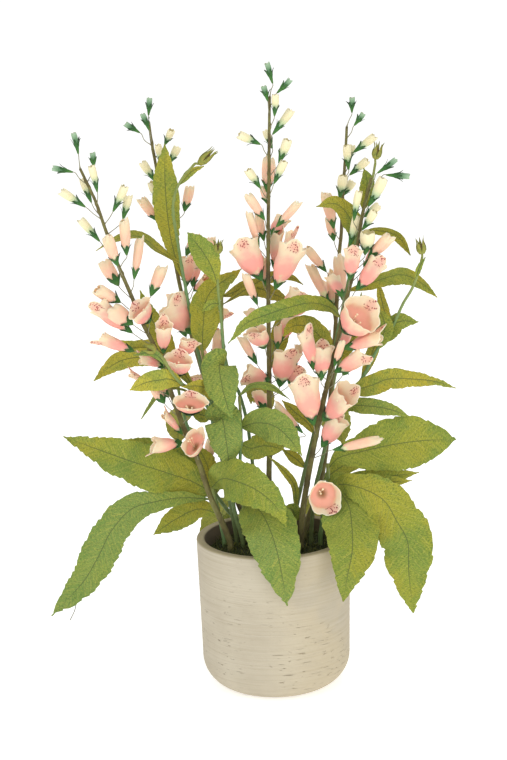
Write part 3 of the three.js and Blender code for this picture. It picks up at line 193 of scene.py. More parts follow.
SPRAYS = {
  "spray_upper_left": {
    "stem": [[-14, 150, -6], [-34, 200, -10], [-52, 260, -16], [-66, 330, -14], [-77, 400, -12],
      [-81, 430, -10], [-85, 480, -10], [-76, 501, -14], [-63, 515, -14]],
    "radii": [2.2, 1.2],
    "leaves": [
      [398, [[-88, 440, -26], [-92, 490, -26], [-91, 534, -24]], 27, 0.62, 8, -8, 0.25],
      [418, [[-100, 433, -22], [-118, 447, -24], [-140, 445, -22], [-160, 435, -18]], 20, 0.5, 60, 66, 0.2],
      [494, [[-66, 508, -16], [-55, 512, -16]], 8, 0.5, 20, 20, 0.2],
    ],
    "bud": [["g", -60, 514, -45, 527, 7, 0, 1]],
  },
  "spray_centre_left": {
    "stem": [[-22, 142, -2], [-28, 180, -2], [-34, 220, 0], [-40, 270, 3], [-42, 320, 6], [-44, 370, 8],
      [-46, 400, 8], [-45, 424, 8]],
    "radii": [2.2, 1.2],
    "leaves": [
      [400, [[-52, 418, 12], [-61, 434, 14], [-73, 450, 14]], 26, 0.56, 10, 10, 0.2],
      [382, [[-52, 381, 12], [-62, 374, 14]], 9, 0.5, 20, 0, 0.2],
      [322, [[-47, 321, 18], [-45, 300, 30], [-41, 282, 34], [-36, 267, 34]], 37, 0.34, 10, 0, 0.12],
    ],
    "bud": [["g", -45, 429, -44, 441, 7, 1, 1]],
  },
  "spray_lower_centre_left": {
    "stem": [[-30, 137, -1], [-37, 175, 0], [-42, 213, 2], [-52, 266, 3], [-60, 315, 3], [-64, 342, 0]],
    "radii": [2.4, 1.4],
    "leaves": [
      [335, [[-61, 362, -6], [-55, 390, -18], [-23, 414, -28]], 31, 0.42, 10, 20, 0.2],
      [288, [[-59, 297, 14], [-67, 301, 28], [-84, 301, 36]], 16, 0.42, 0, 0, 0.1],
      [264, [[-46, 268, 22], [-43, 246, 29], [-41, 228, 23], [-39, 212, 17]], 37, 0.33, 10, 0, 0.12],
    ],
  },
  "spray_left": {
    "stem": [[-36, 142, -8], [-42, 190, -8], [-48, 230, -8], [-55, 268, -12], [-66, 291, -12],
      [-78, 300, 20], [-88, 308, 42], [-95, 319, 48], [-100, 328, 48], [-104, 334, 46]],
    "radii": [2.2, 1.3],
    "leaves": [
      [309, [[-97, 309, 46], [-106, 308, 47], [-118, 306, 48], [-134, 299, 48]], 21, 0.55, 0, -5, 0.15],
      [291, [[-92, 320, -24], [-112, 330, -42], [-138, 329, -46], [-155, 320, -44], [-168, 309, -40]], 20,
        0.66, 10, 5, 0.1],
      [291, [[-86, 320, -30], [-108, 338, -48], [-135, 341, -52], [-160, 349, -48]], 18, 0.6, 10, 10, 0.1],
      [287, [[-88, 299, -20], [-104, 298, -18], [-110, 290, -17], [-124, 270, -14]], 9, 0.6, 60, 50, 0.15],
      [269, [[-64, 272, -18], [-77, 277, -22]], 16, 0.45, 0, 10, 0.1],
      [332, [[-110, 335, 48], [-118, 335, 48], [-129, 333, 46]], 7, 0.5, 0, 0, 0.1],
    ],
    "bud": [["g", -107, 337, -119, 341, 8, 0, 1]],
  },
  "spray_low_left": {
    "stem": [[-48, 146, -6], [-53, 175, -8], [-58, 200, -10]],
    "radii": [2.4, 2],
    "leaves": [
      [190, [[-75, 205, -12], [-100, 215, -4], [-130, 226, 4], [-165, 240, 10], [-200, 255, 14]], 47, 0.42,
        0, 0, 0.12],
      [184, [[-85, 190, 0], [-112, 187, 8], [-137, 180, 12], [-158, 158, 16], [-171, 134, 18],
        [-187, 108, 20], [-221, 72, 22]], 38, 0.6, 0, 0, 0.1],
      [170, [[-72, 178, -22], [-95, 168, -28], [-117, 153, -32]], 27, 0.5, 10, 10, 0.1],
      [194, [[-80, 226, -24], [-115, 243, -30], [-150, 249, -30]], 20, 0.5, 0, 0, 0.1],
      [192, [[-62, 222, -16], [-68, 236, -14], [-73, 246, -12]], 20, 0.45, 10, 10, 0.1],
      [188, [[-50, 206, -14], [-42, 222, -18], [-36, 236, -20]], 11, 0.5, 20, 20, 0.1],
      [198, [[-48, 208, 24], [-34, 205, 54], [-14, 195, 75], [3, 179, 86], [13, 157, 90]], 43, 0.5, 0, 0,
        0.08],
    ],
  },
  "spray_front": {
    "stem": [[-14, 138, 14], [-22, 170, 18], [-30, 215, 18], [-28, 255, 12], [-29, 290, 8]],
    "radii": [2.3, 1.3],
    "leaves": [
      [262, [[-14, 263, 20], [3, 260, 32], [17, 248, 40], [30, 229, 44]], 33, 0.45, 12, 0, 0.12],
      [246, [[-20, 238, 14], [-6, 240, 10], [13, 236, 6]], 25, 0.4, 0, 0, 0.1],
      [196, [[-18, 183, 44], [-6, 163, 72], [2, 138, 90], [8, 105, 96], [12, 76, 98]], 53, 0.47, 0, 0, 0.06],
      [292, [[-16, 301, 14], [0, 300, 17], [20, 285, 16]], 14, 0.5, 60, 60, 0.2],
    ],
  },
  "spray_low_right": {
    "stem": [[46, 148, -4], [50, 175, -4], [54, 200, -2], [55, 220, 4]],
    "radii": [2.4, 1.8],
    "leaves": [
      [196, [[64, 193, 20], [74, 178, 38], [77, 156, 58], [77, 132, 72], [72, 106, 80], [67, 79, 82]], 57,
        0.43, 0, 0, 0.08],
      [198, [[76, 198, 30], [97, 190, 42], [110, 180, 46], [121, 160, 48], [131, 140, 50], [132, 108, 50],
        [136, 65, 50]], 52, 0.58, 0, 0, 0.1],
      [200, [[66, 196, 14], [80, 190, 18], [95, 182, 20]], 20, 0.6, 10, 10, 0.1],
      [204, [[70, 201, 12], [90, 204, 18], [115, 206, 24], [143, 209, 28]], 20, 0.5, 10, 10, 0.15],
      [202, [[72, 198, 22], [95, 199, 30], [136, 201, 36]], 17, 0.55, 0, 0, 0.15],
      [216, [[66, 226, 12], [90, 232, 16], [120, 238, 20], [150, 241, 24], [179, 241, 26]], 55, 0.6, 0, 0,
        0.1],
    ],
  },
  "spray_right": {
    "stem": [[37, 150, -10], [42, 195, -4], [47, 215, -2], [52, 235, 0], [57, 255, 2], [70, 280, 4],
      [88, 302, 6], [103, 330, 10], [117, 350, 14], [130, 377, 26], [138, 390, 30], [144, 405, 32],
      [148, 420, 32]],
    "radii": [2.3, 1.2],
    "leaves": [
      [294, [[98, 297, 12], [115, 303, 18], [140, 302, 22], [160, 299, 24], [179, 292, 26]], 22, 0.3, 8, 8,
        0.15],
      [268, [[76, 277, 4], [92, 277, 12], [115, 273, 20], [135, 265, 24]], 17, 0.5, 0, 0, 0.15],
      [334, [[112, 354, 18], [110, 363, 20], [105, 372, 20]], 18, 0.5, 0, 0, 0.15],
      [342, [[124, 358, 16], [144, 358, 18]], 20, 0.42, 0, 0, 0.15],
      [328, [[113, 356, -6], [109, 380, -16], [105, 401, -20]], 11, 0.6, 0, 20, 0.15],
      [304, [[94, 316, 2], [102, 336, 0], [110, 354, -2]], 13, 0.5, 20, 20, 0.1],
      [404, [[146, 412, 36], [151, 420, 36]], 6, 0.5, 0, 0, 0.2],
    ],
    "bud": [["g", 148, 423, 146, 437, 7, 0, 1]],
  },
  "spray_back": {
    "stem": [[-10, 150, -26], [-16, 200, -30], [-22, 262, -34], [-28, 290, -36], [-40, 322, -38],
      [-43, 355, -40], [-42, 394, -42]],
    "radii": [2.2, 1.3],
    "leaves": [
      [380, [[-14, 396, -50], [4, 390, -52], [23, 381, -54]], 18, 0.5, 0, 0, 0.1],
      [372, [[0, 404, -46], [22, 405, -50], [35, 397, -52]], 12, 0.6, 10, 20, 0.1],
    ],
  },
  "spray_upper_right": {
    "stem": [[16, 148, -2], [24, 180, -6], [34, 220, -10], [44, 258, -12], [58, 310, -12], [68, 355, -10],
      [78, 400, -8], [86, 440, -4], [94, 470, -2], [102, 495, 0], [105, 510, 0]],
    "radii": [2.3, 1.2],
    "leaves": [
      [466, [[96, 484, -6], [97, 495, -8], [94, 506, -8]], 16, 0.5, 10, 10, 0.15],
      [430, [[84, 448, -12], [78, 463, -14], [67, 473, -14], [49, 471, -12]], 23, 0.5, 10, 50, 0.15],
      [436, [[97, 446, -8], [112, 446, -8], [126, 440, -8], [137, 422, -6]], 14, 0.6, 50, 40, 0.15],
      [388, [[97, 396, -4], [115, 402, 0], [130, 404, 2], [148, 395, 4], [162, 381, 6]], 24, 0.55, 40, 50,
        0.2],
      [362, [[60, 374, 8], [42, 379, 22], [20, 375, 34], [0, 369, 38], [-20, 361, 38], [-38, 342, 34]], 20,
        0.5, 40, 5, 0.15],
      [306, [[57, 330, -8], [50, 346, -8], [36, 357, -6], [22, 356, -4], [15, 347, -2]], 23, 0.6, 20, 10,
        0.1],
      [248, [[36, 262, -6], [25, 272, -2], [12, 285, -2]], 14, 0.5, 0, 0, 0.1],
      [214, [[24, 226, -14], [11, 236, -16]], 12, 0.5, 0, 0, 0.1],
      [172, [[22, 198, 2], [12, 214, 8], [-3, 230, 10]], 10, 0.5, 30, 40, 0.1],
      [160, [[20, 174, 4], [11, 178, 10]], 16, 0.5, 0, 0, 0.1],
    ],
    "bud": [["g", 105, 514, 109, 528, 7, 0, 1]],
  },
  "spray_rear_left": {
    "stem": [[-30, 156, -44], [-50, 185, -60], [-66, 215, -70], [-82, 270, -80], [-92, 330, -84]],
    "radii": [2.3, 1.3],
    "leaves": [
      [190, [[-95, 222, -98], [-128, 226, -118]], 40, 0.5, 0, 0, 0.12],
      [160, [[-48, 176, -88], [-52, 150, -112], [-50, 112, -124], [-44, 78, -128]], 46, 0.5, 0, 0, -0.1],
      [296, [[-100, 348, -98], [-112, 372, -108], [-120, 396, -112]], 22, 0.5, 0, 0, 0.12],
      [246, [[-84, 268, -104], [-88, 262, -130], [-90, 242, -146]], 34, 0.5, 0, 0, -0.1],
    ],
  },
  "spray_rear_right": {
    "stem": [[32, 156, -46], [48, 205, -62], [56, 250, -70], [62, 300, -76], [72, 336, -80]],
    "radii": [2.3, 1.3],
    "leaves": [
      [186, [[94, 232, -92], [140, 243, -114]], 26, 0.5, 0, 0, 0.12],
      [176, [[44, 184, -84], [48, 156, -108], [48, 112, -120], [44, 80, -124]], 44, 0.5, 0, 0, -0.1],
      [300, [[80, 350, -92], [88, 368, -98], [90, 388, -100]], 22, 0.5, 0, 0, 0.12],
      [232, [[60, 262, -98], [66, 260, -126], [70, 238, -142]], 34, 0.5, 0, 0, -0.1],
    ],
  },
  "spray_rear_centre": {
    "stem": [[-1, 160, -48], [-2, 230, -62], [0, 300, -70], [4, 345, -74]],
    "radii": [2.3, 1.3],
    "leaves": [
      [300, [[12, 350, -84], [18, 378, -94]], 20, 0.5, 0, 0, 0.12],
      [212, [[4, 248, -88], [2, 266, -98]], 24, 0.5, 0, 0, 0.12],
      [162, [[-4, 179, -87], [-2, 156, -113], [0, 118, -126], [2, 82, -129]], 46, 0.5, 0, 0, -0.1],
      [256, [[-6, 290, -92], [-14, 296, -112], [-18, 282, -126]], 26, 0.5, 0, 0, -0.1],
    ],
  },
}

# How each leaf is coloured, in the order of its spray's leaves: 0 lime, 0.33 olive, 0.62 green, 1 grey-green.
LEAF_TONES = {
    "spray_upper_left": [0.5, 0.4, 0.45],
    "spray_centre_left": [0.55, 0.7, 0.9],
    "spray_lower_centre_left": [0.36, 0.3, 0.95],
    "spray_left": [0.05, 0.33, 0.3, 0.75, 0.33, 1.0],
    "spray_low_left": [0.62, 0.95, 0.5, 0.7, 0.45, 0.5, 0.72],
    "spray_front": [0.8, 0.5, 0.85, 0.8],
    "spray_low_right": [0.62, 0.55, 0.6, 0.45, 0.4, 0.64],
    "spray_right": [0.38, 0.75, 0.62, 0.6, 0.38, 0.36, 0.6],
    "spray_back": [0.33, 0.4],
    "spray_upper_right": [0.5, 0.45, 0.36, 0.4, 0.6, 0.33, 0.33, 0.4, 0.45, 0.6],
    "spray_rear_left": [0.6, 0.75, 0.45, 0.6],
    "spray_rear_right": [0.65, 0.6, 0.45, 0.7],
    "spray_rear_centre": [0.45, 0.6, 0.7, 0.5],
}

# ---- lines and directions ----------------------------------------------------------------------------------


def unit(vectors):
    """The same directions at length 1."""
    return vectors / np.maximum(np.linalg.norm(vectors, axis=-1, keepdims=True), 1e-9)


def ease(value, low, high):
    """0 below low, 1 above high and a smooth S between: 3x^2 - 2x^3."""
    share = np.clip((value - low) / (high - low), 0, 1)
    return share * share * (3 - 2 * share)


def place(rows):
    """Points, in metres, of places given as [across, up, near] in millimetres."""
    rows = np.atleast_2d(np.asarray(rows, float)) * MM
    upright = np.stack([rows[:, 0], np.zeros(len(rows)), rows[:, 1]], axis=1)
    return upright + unit(FRONT_POINT - upright) * rows[:, 2:3]


def smooth_line(points, spacing):
    """Points about `spacing` apart along the centripetal Catmull-Rom curve through the given ones.

    Each span is a cubic. The slope at a point weighs the slopes of the spans on both sides, each taken over
    the square root of its span's length.
    """
    points = np.asarray(points, float)
    longer = np.vstack([2 * points[0] - points[1], points, 2 * points[-1] - points[-2]])
    steps = np.maximum(np.linalg.norm(np.diff(longer, axis=0), axis=1) ** 0.5, 1e-5)[:, None]
    slopes = np.diff(longer, axis=0) / steps
    tangents = slopes[:-1] + slopes[1:] - (longer[2:] - longer[:-2]) / (steps[:-1] + steps[1:])
    u = np.linspace(0, 1, 24, endpoint=False)[None, :, None]
    start, end = points[:-1, None], points[1:, None]
    span = steps[1:-1, None]
    leave, arrive = tangents[:-1, None] * span, tangents[1:, None] * span
    curve = ((2 * u**3 - 3 * u**2 + 1) * start + (u**3 - 2 * u**2 + u) * leave
             + (3 * u**2 - 2 * u**3) * end + (u**3 - u**2) * arrive)
    fine = np.vstack([curve.reshape(-1, 3), points[-1:]])
    reach = np.concatenate([[0], np.cumsum(np.linalg.norm(np.diff(fine, axis=0), axis=1))])
    even = np.linspace(0, reach[-1], max(4, int(round(reach[-1] / spacing)) + 1))
    return np.stack([np.interp(even, reach, fine[:, k]) for k in range(3)], axis=1)


def lengths(line):
    """How far along the line each of its points is."""
    return np.concatenate([[0], np.cumsum(np.linalg.norm(np.diff(line, axis=0), axis=1))])


def square_to(axis, wanted):
    """Two directions square to the axis, the first as near as it can be to the one wanted."""
    side = wanted - np.sum(wanted * axis, axis=-1, keepdims=True) * axis
    spare = np.array([1.0, 0.3, 0.1]) - (axis @ np.array([1.0, 0.3, 0.1]))[..., None] * axis
    side = unit(np.where(np.linalg.norm(side, axis=-1, keepdims=True) < 1e-3, spare, side))
    return side, np.cross(axis, side)


def at_height(line, height):
    """The line's point at a height, or its last one where it doesn't reach."""
    above = np.argmax(line[:, 2] > height)
    if line[above, 2] <= height:
        return line[-1].copy()
    below = max(above - 1, 0)
    share = (height - line[below, 2]) / max(line[above, 2] - line[below, 2], 1e-9)
    return line[below] + np.clip(share, 0, 1) * (line[above] - line[below])


# ---- meshes ------------------------------------------------------------------------------------------------


class Skin:
    """Grids of points gathered into one mesh.

    A grid's columns run anticlockwise round its rows' direction and close on themselves, and its first and
    last rows are drawn together on their middles. `chart` keeps two distances over the surface, in metres,
    and a chance value for its form; `mark` keeps four shares that the finish reads.
    """

    def __init__(self):
        self.points, self.faces, self.charts, self.marks = [], [], [], []
        self.count = 0

    def add(self, grid, chart=0.0, mark=(0, 0, 0, 0), poles=True):
        rows, columns = grid.shape[:2]
        chart = np.broadcast_to(chart, (rows, columns, 3))
        mark = np.broadcast_to(mark, (rows, columns, 4))
        if poles:
            ends = [np.broadcast_to(grid[k].mean(axis=0), (1, columns, 3)) for k in (0, -1)]
            grid = np.concatenate([ends[0], grid, ends[1]])
            chart = np.concatenate([chart[:1], chart, chart[-1:]])
            mark = np.concatenate([mark[:1], mark, mark[-1:]])
        index = np.arange(grid.shape[0] * columns).reshape(-1, columns) + self.count
        right = np.roll(index, -1, axis=1)
        self.faces.append(np.stack([index[:-1], right[:-1], right[1:], index[1:]], axis=-1).reshape(-1, 4))
        self.points.append(grid.reshape(-1, 3))
        self.charts.append(chart.reshape(-1, 3))
        self.marks.append(mark.reshape(-1, 4))
        self.count += index.size

    def build(self, name, material, slot, *nodes):
        """The mesh object, riding the body and standing for the nodes."""
        mesh = bpy.data.meshes.new(name)
        faces = np.concatenate(self.faces)
        mesh.vertices.add(self.count)
        mesh.vertices.foreach_set("co", np.concatenate(self.points).astype(np.float32).ravel())
        mesh.loops.add(faces.size)
        mesh.loops.foreach_set("vertex_index", faces.astype(np.int32).ravel())
        mesh.polygons.add(len(faces))
        mesh.polygons.foreach_set("loop_start", np.arange(0, faces.size, 4, dtype=np.int32))
        mesh.update(calc_edges=True)
        chart = mesh.attributes.new("chart", "FLOAT_VECTOR", "POINT")
        chart.data.foreach_set("vector", np.concatenate(self.charts).astype(np.float32).ravel())
        mark = mesh.attributes.new("mark", "FLOAT_COLOR", "POINT")
        mark.data.foreach_set("color", np.concatenate(self.marks).astype(np.float32).ravel())
        shape = bmesh.new()
        shape.from_mesh(mesh)
        bmesh.ops.remove_doubles(shape, verts=shape.verts, dist=1e-6)
        shape.to_mesh(mesh)
        shape.free()
        mesh.polygons.foreach_set("use_smooth", np.ones(len(mesh.polygons), dtype=bool))
        mesh.materials.append(material)
        piece = bpy.data.objects.new(name, mesh)
        bpy.context.scene.collection.objects.link(piece)
        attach(piece, BODY)
        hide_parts(*nodes)
        return piece


def circle(sides):
    """Turns evenly round a circle."""
    return TURN * np.arange(sides) / sides


def stacked(*parts):
    """One array of the parts side by side in a last axis, each spread to the shape of all."""
    return np.stack(np.broadcast_arrays(*parts), axis=-1)


def tube(line, radius, sides, wanted=(0.0, -1.0, 0.0)):
    """A grid round a line: at each point a circle of its radius, square to the line there.

    `radius` is one number, one a point, or one for each point and turn.
    """
    axis = unit(np.gradient(line, axis=0))
    side, other = square_to(axis, np.asarray(wanted, float))
    turn = circle(sides)[None, :, None]
    radius = np.asarray(radius, float)
    radius = radius[:, None] if radius.ndim == 1 else radius
    radius = np.broadcast_to(radius, (len(line), sides))[..., None]
    return line[:, None] + (side[:, None] * np.cos(turn) + other[:, None] * np.sin(turn)) * radius


def waves(values, chance, count, lowest, highest):
    """A gentle chance curve: the mean of sines of `values` with chance rates and starts."""
    rates = chance.uniform(lowest, highest, count)
    starts = chance.uniform(0, TURN, count)
    return np.mean([np.sin(rate * values + start) for rate, start in zip(rates, starts)], axis=0)


# ---- stems -------------------------------------------------------------------------------------------------

STEM_SIDES = 14
STEM_STEP = 2.4 * MM
KNOT_GAP = 17 * MM
KNOT_HEIGHT = 0.7 * MM
KNOT_REACH = 1.5 * MM


def stem_points(rows):
    """A stem's own points: straight in the moss up to just above it, then its places."""
    places = place(rows)
    feet = np.repeat(places[:1], 3, axis=0)
    feet[:, 2] = MOSS_LEVEL + np.array([-ROOT_DEPTH, 3 * MM, 7 * MM])
    return np.vstack([feet, places[1:]])


def add_stem(skin, points, radii, chance):
    """A stem: its radius narrows evenly and has a fine ripple, and small knots stand out of its skin.

    A knot is the bell curve exp(-d^2) of the distance d to its middle, over its reach.
    """
    line = smooth_line(points, STEM_STEP)
    along = lengths(line)[:, None]
    turn = circle(STEM_SIDES)[None]
    share = along / along[-1]
    radius = (radii[0] + (radii[1] - radii[0]) * share) * MM
    radius = radius * (1 + 0.05 * waves(along / MM + 1.5 * np.cos(turn), chance, 3, 0.4, 1.1))
    knots = max(3, int(along[-1, 0] / KNOT_GAP))
    heights = chance.uniform(0.25, 0.98, knots) * along[-1, 0]
    turns = chance.uniform(0, TURN, knots)
    for height, place_round in zip(heights, turns):
        apart = np.abs((turn - place_round + np.pi) % TURN - np.pi) * radius
        radius = radius + KNOT_HEIGHT * np.exp(-((along - height) ** 2 + apart**2) / KNOT_REACH**2)
    chart = stacked(turn * radii[0] * MM, along, chance.random())
    mark = stacked(share, 0 * turn, 0 * turn, chance.random())
    skin.add(tube(line, radius, STEM_SIDES), chart, mark)
    return line


# ---- blossoms ----------------------------------------------------------------------------------------------

PETAL_SKIN = 0.45 * MM
WIRE_RADIUS = 0.42 * MM
FORWARD = np.array([0.0, -1.0, 0.0])
FORWARD_PULL = 4 * MM
LIP_FLARE = 1.5
SPOT_SHARE = 0.84
SPOT_REACH = 6 * MM
ROUND = 40
BUD_ROUND = 24
CALYX_ROUND = 30
CALYX_SKIN = 0.3 * MM
CALYX_GAP = 0.8 * MM
LONG_LIP_WIDTH = 0.85
FRAY = 0.018
STAMENS = 4
STAMEN_RADIUS = 0.22 * MM
THROAT_CLOSES = np.array([0.97, 0.88, 0.7, 0.45, 0.12])
LIP_SPREAD = 1.1

# Each stage: its depth through the long lip as a share of its width, where its petals start inside the
# calyx, the radius along the tube as a share of half the width, how far the inside runs back, the depth of
# the notches and how pointed the lobes are, the flare and the ripple of the rim, the long lip, the reach of
# the calyx and of its curling teeth, its blush, and how far the calyx may reach at most.
STAGES = {
    "g": dict(flat=1.0, start=0.36, radii=[0.4, 0.56, 0.66, 0.68, 0.56], depth=0.3, notch=0.07, point=0.8,
              flare=0.06, ripple=0.1, lip=0.05, calyx=0.8, teeth=0.5, curl=3.4 * MM, blush=0.0,
              cup=18 * MM),
    "c": dict(flat=1.0, start=0.3, radii=[0.5, 0.78, 0.94, 1.02, 1.02, 0.82], depth=0.3, notch=0.07,
              point=0.8, flare=0.08, ripple=0.1, lip=0.05, calyx=0.56, teeth=0.55, curl=3 * MM, blush=0.12,
              cup=15 * MM),
    "p": dict(flat=0.85, start=0.16, radii=[0.36, 0.7, 0.88, 0.97, 1.01, 1.03, 1.02, 0.94, 0.7], depth=0.3,
              notch=0.06, point=0.6, flare=0.06, ripple=0.14, lip=0.1, calyx=0.4, teeth=0.5, curl=2.4 * MM,
              blush=0.15, cup=12.5 * MM),
    "b": dict(flat=0.64, start=0.14, radii=[0.3, 0.52, 0.73, 0.88, 0.95, 0.98, 0.98, 1.0, 1.07], depth=0.74,
              notch=0.08, point=0.6, flare=0.1, ripple=0.11, lip=0.24, calyx=0.31, teeth=0.52, curl=3 * MM,
              blush=1.0, cup=12.5 * MM),
}


def rim_height(form, turn, chance):
    """How high the petals reach at each turn: lobes |cos(5 turn / 2)|^point above the notches, and a long
    lip in the bell curve exp(-(turn / width)^2), with a frayed edge."""
    lobe = np.abs(np.cos(LOBES * turn / 2)) ** form["point"]
    away = np.abs((turn + np.pi) % TURN - np.pi)
    long_lip = np.exp(-((away / LONG_LIP_WIDTH) ** 2))
    frayed = FRAY * chance.uniform(-1, 1, turn.shape)
    return 1 - form["notch"] * (1 - lobe) + form["lip"] * (long_lip - 0.25) + frayed, lobe


def petals(form, length, half, chance, columns):
    """One blossom's petals about +Z with the long lip on +X: (grid, chart, mark).

    Outside, the height share runs from the start to the rim, and the radius follows the stage's profile
    with a flare on the lobes, a ripple near the rim and the long lip turned out. Inside, both run back a
    skin's thickness in, and the last rows close the throat. The spotted patch is the bell curve exp(-d^2)
    of the distance d to a place high on the long lip.
    """
    turn = circle(columns)
    rim, lobe = rim_height(form, turn, chance)
    ripple = sum(np.sin(rate * turn + chance.uniform(0, TURN)) for rate in (3, 5, 8)) / 3
    up = np.linspace(0, 1, len(form["radii"]))
    outer = np.linspace(0, 1, 17) ** 0.9
    inner = np.linspace(1, 1 - form["depth"], 12)
    share = np.concatenate([outer, inner])[:, None]
    inside = np.concatenate([np.zeros(len(outer)), np.ones(len(inner))])[:, None]
    near_rim = ease(share, 0.68, 1.0)
    radius = half * np.interp(share, up, form["radii"]) + 0 * turn
    signed = (turn + np.pi) % TURN - np.pi
    radius = radius + half * near_rim * (form["flare"] * lobe + form["ripple"] * ripple)
    turned_out = form["lip"] * np.exp(-((signed / LIP_SPREAD) ** 2)) * ease(share, 0.72, 1.04)
    radius = radius + half * LIP_FLARE * turned_out
    crease = 0.035 * half * np.cos(LOBES * turn / 2 + 0.4) * ease(share, 0.2, 0.6)
    radius = radius + crease - inside * PETAL_SKIN
    radius[-len(THROAT_CLOSES):] *= THROAT_CLOSES[:, None]
    height = length * (form["start"] + share * (rim - form["start"]))
    belly = 0.08 * half * np.sin(np.pi * np.clip(share, 0, 1))
    lean = chance.uniform(-0.05, 0.05) * length * share**2
    x = radius * np.cos(turn) * form["flat"] + belly
    y = radius * np.sin(turn) + lean
    grid = np.stack([x, y, height], axis=-1)
    tint = chance.random()
    chart = stacked(signed * half, share * length, tint)
    spotted = np.exp(-((signed * half) ** 2 + ((share - SPOT_SHARE) * length) ** 2) / SPOT_REACH**2)
    mark = stacked(share, spotted, inside, form["blush"])
    return grid, chart, mark


def petal_radius(form, share, half):
    """The petals' outer radius at a share of the blossom's length."""
    up = form["start"] + (1 - form["start"]) * np.linspace(0, 1, len(form["radii"]))
    return half * np.interp(share, up, form["radii"]) * (share > form["start"])


def calyx(form, length, half, chance, columns):
    """A funnel that hugs the petals, its rim cut into five pointed teeth that curl outwards.

    The rim's height falls in straight lines from each tooth's point to the notch between two teeth.
    """
    turn = circle(columns) + chance.uniform(0, 0.3)
    sector = (LOBES * turn / TURN) % LOBES
    tooth = 1 - 2 * np.abs(sector % 1 - 0.5)
    curls = chance.uniform(0.3, 1.0, LOBES)[sector.astype(int)] * form["curl"]
    reach = chance.uniform(0.86, 1.06, LOBES)[sector.astype(int)]
    part = min(form["calyx"], form["cup"] / length)
    rim = part * (1 - form["teeth"] * (1 - tooth * reach))
    outer = np.linspace(0, 1, 12)
    inner = np.linspace(1, 0.3, 7)
    rise = np.concatenate([outer, inner])[:, None]
    inside = np.concatenate([np.zeros(len(outer)), np.ones(len(inner))])[:, None]
    share = rise * rim
    tall = share / part
    funnel = WIRE_RADIUS * 1.5 + tall**0.8 * petal_radius(form, part, half) * 0.95
    radius = np.maximum(funnel, petal_radius(form, share, half) + CALYX_GAP)
    radius = radius + curls * ease(tall, 0.55, 1.05) ** 1.6 - inside * CALYX_SKIN
    height = share * length - curls * 0.35 * ease(tall, 0.8, 1.05)
    flat = 1 - (1 - form["flat"]) * ease(share, 0.1, part)
    grid = np.stack([radius * np.cos(turn) * flat, radius * np.sin(turn), height], axis=-1)
    chart = stacked(turn * half, height, chance.random())
    mark = stacked(tall, tooth, inside, chance.random())
    return grid, chart, mark


def to_world(grid, base, side, other, axis):
    """A grid about +Z moved to its base, its X along side, its Y along other and its Z along the axis."""
    return base + grid[..., :1] * side + grid[..., 1:2] * other + grid[..., 2:] * axis


def bead(middle, radius):
    """A small round bead: circles of radius sin(a) at heights cos(a)."""
    angle = np.linspace(0.15, np.pi - 0.15, 6)[:, None]
    turn = circle(8)
    grid = stacked(np.sin(angle) * np.cos(turn), np.sin(angle) * np.sin(turn), -np.cos(angle))
    return middle + radius * grid


def add_stamens(skin, length, half, frame_of, chance):
    """Fine stalks from the throat with a bead on each, on the side away from the long lip."""
    for turn in np.pi + chance.uniform(-1.1, 1.1, STAMENS):
        top = chance.uniform(0.72, 0.9) * length
        spread = chance.uniform(0.25, 0.5) * half
        points = np.array([
            [0.0, 0.0, 0.3 * length],
            [0.7 * spread * np.cos(turn), 0.7 * spread * np.sin(turn), 0.6 * length],
            [spread * np.cos(turn), spread * np.sin(turn), top],
        ])
        world = to_world(points, *frame_of)
        skin.add(tube(smooth_line(world, 4 * MM), STAMEN_RADIUS, 5), mark=(0, 0, 0, 1))
        skin.add(bead(world[-1], chance.uniform(0.75, 1.05) * MM), mark=(1, 0, 0, 1))


def add_wire(skin, foot, base, axis, outward, chance):
    """A blossom's wire: a line that leaves the stem outwards and runs into the calyx along its axis,
    thicker where it is bound to the stem."""
    reach = np.linalg.norm(base - foot)
    middle = (foot + base) / 2 + unit(outward) * reach * chance.uniform(0.02, 0.12)
    points = np.array([foot, middle, base - axis * 0.12 * reach, base + axis * 1.5 * MM])
    line = smooth_line(points, 1.8 * MM)
    radius = WIRE_RADIUS * (1 + 1.6 * np.exp(-lengths(line) / (1.6 * MM)))
    skin.add(tube(line, radius, 7), mark=(0, 0, 0, chance.random()))


def stand(row, points):
    """Where a row puts its blossom or bud: the stem's point beside it, its base, its length and its axis."""
    _, base_across, base_up, tip_across, tip_up, _, offset, forward = row[:8]
    beside = at_height(points, place([base_across, base_up, 0])[0, 2])
    near = -beside[1] / MM + offset
    base = place([base_across, base_up, near])[0]
    tip = place([tip_across, tip_up, near + forward])[0]
    return beside, base, np.linalg.norm(tip - base), unit(tip - base)


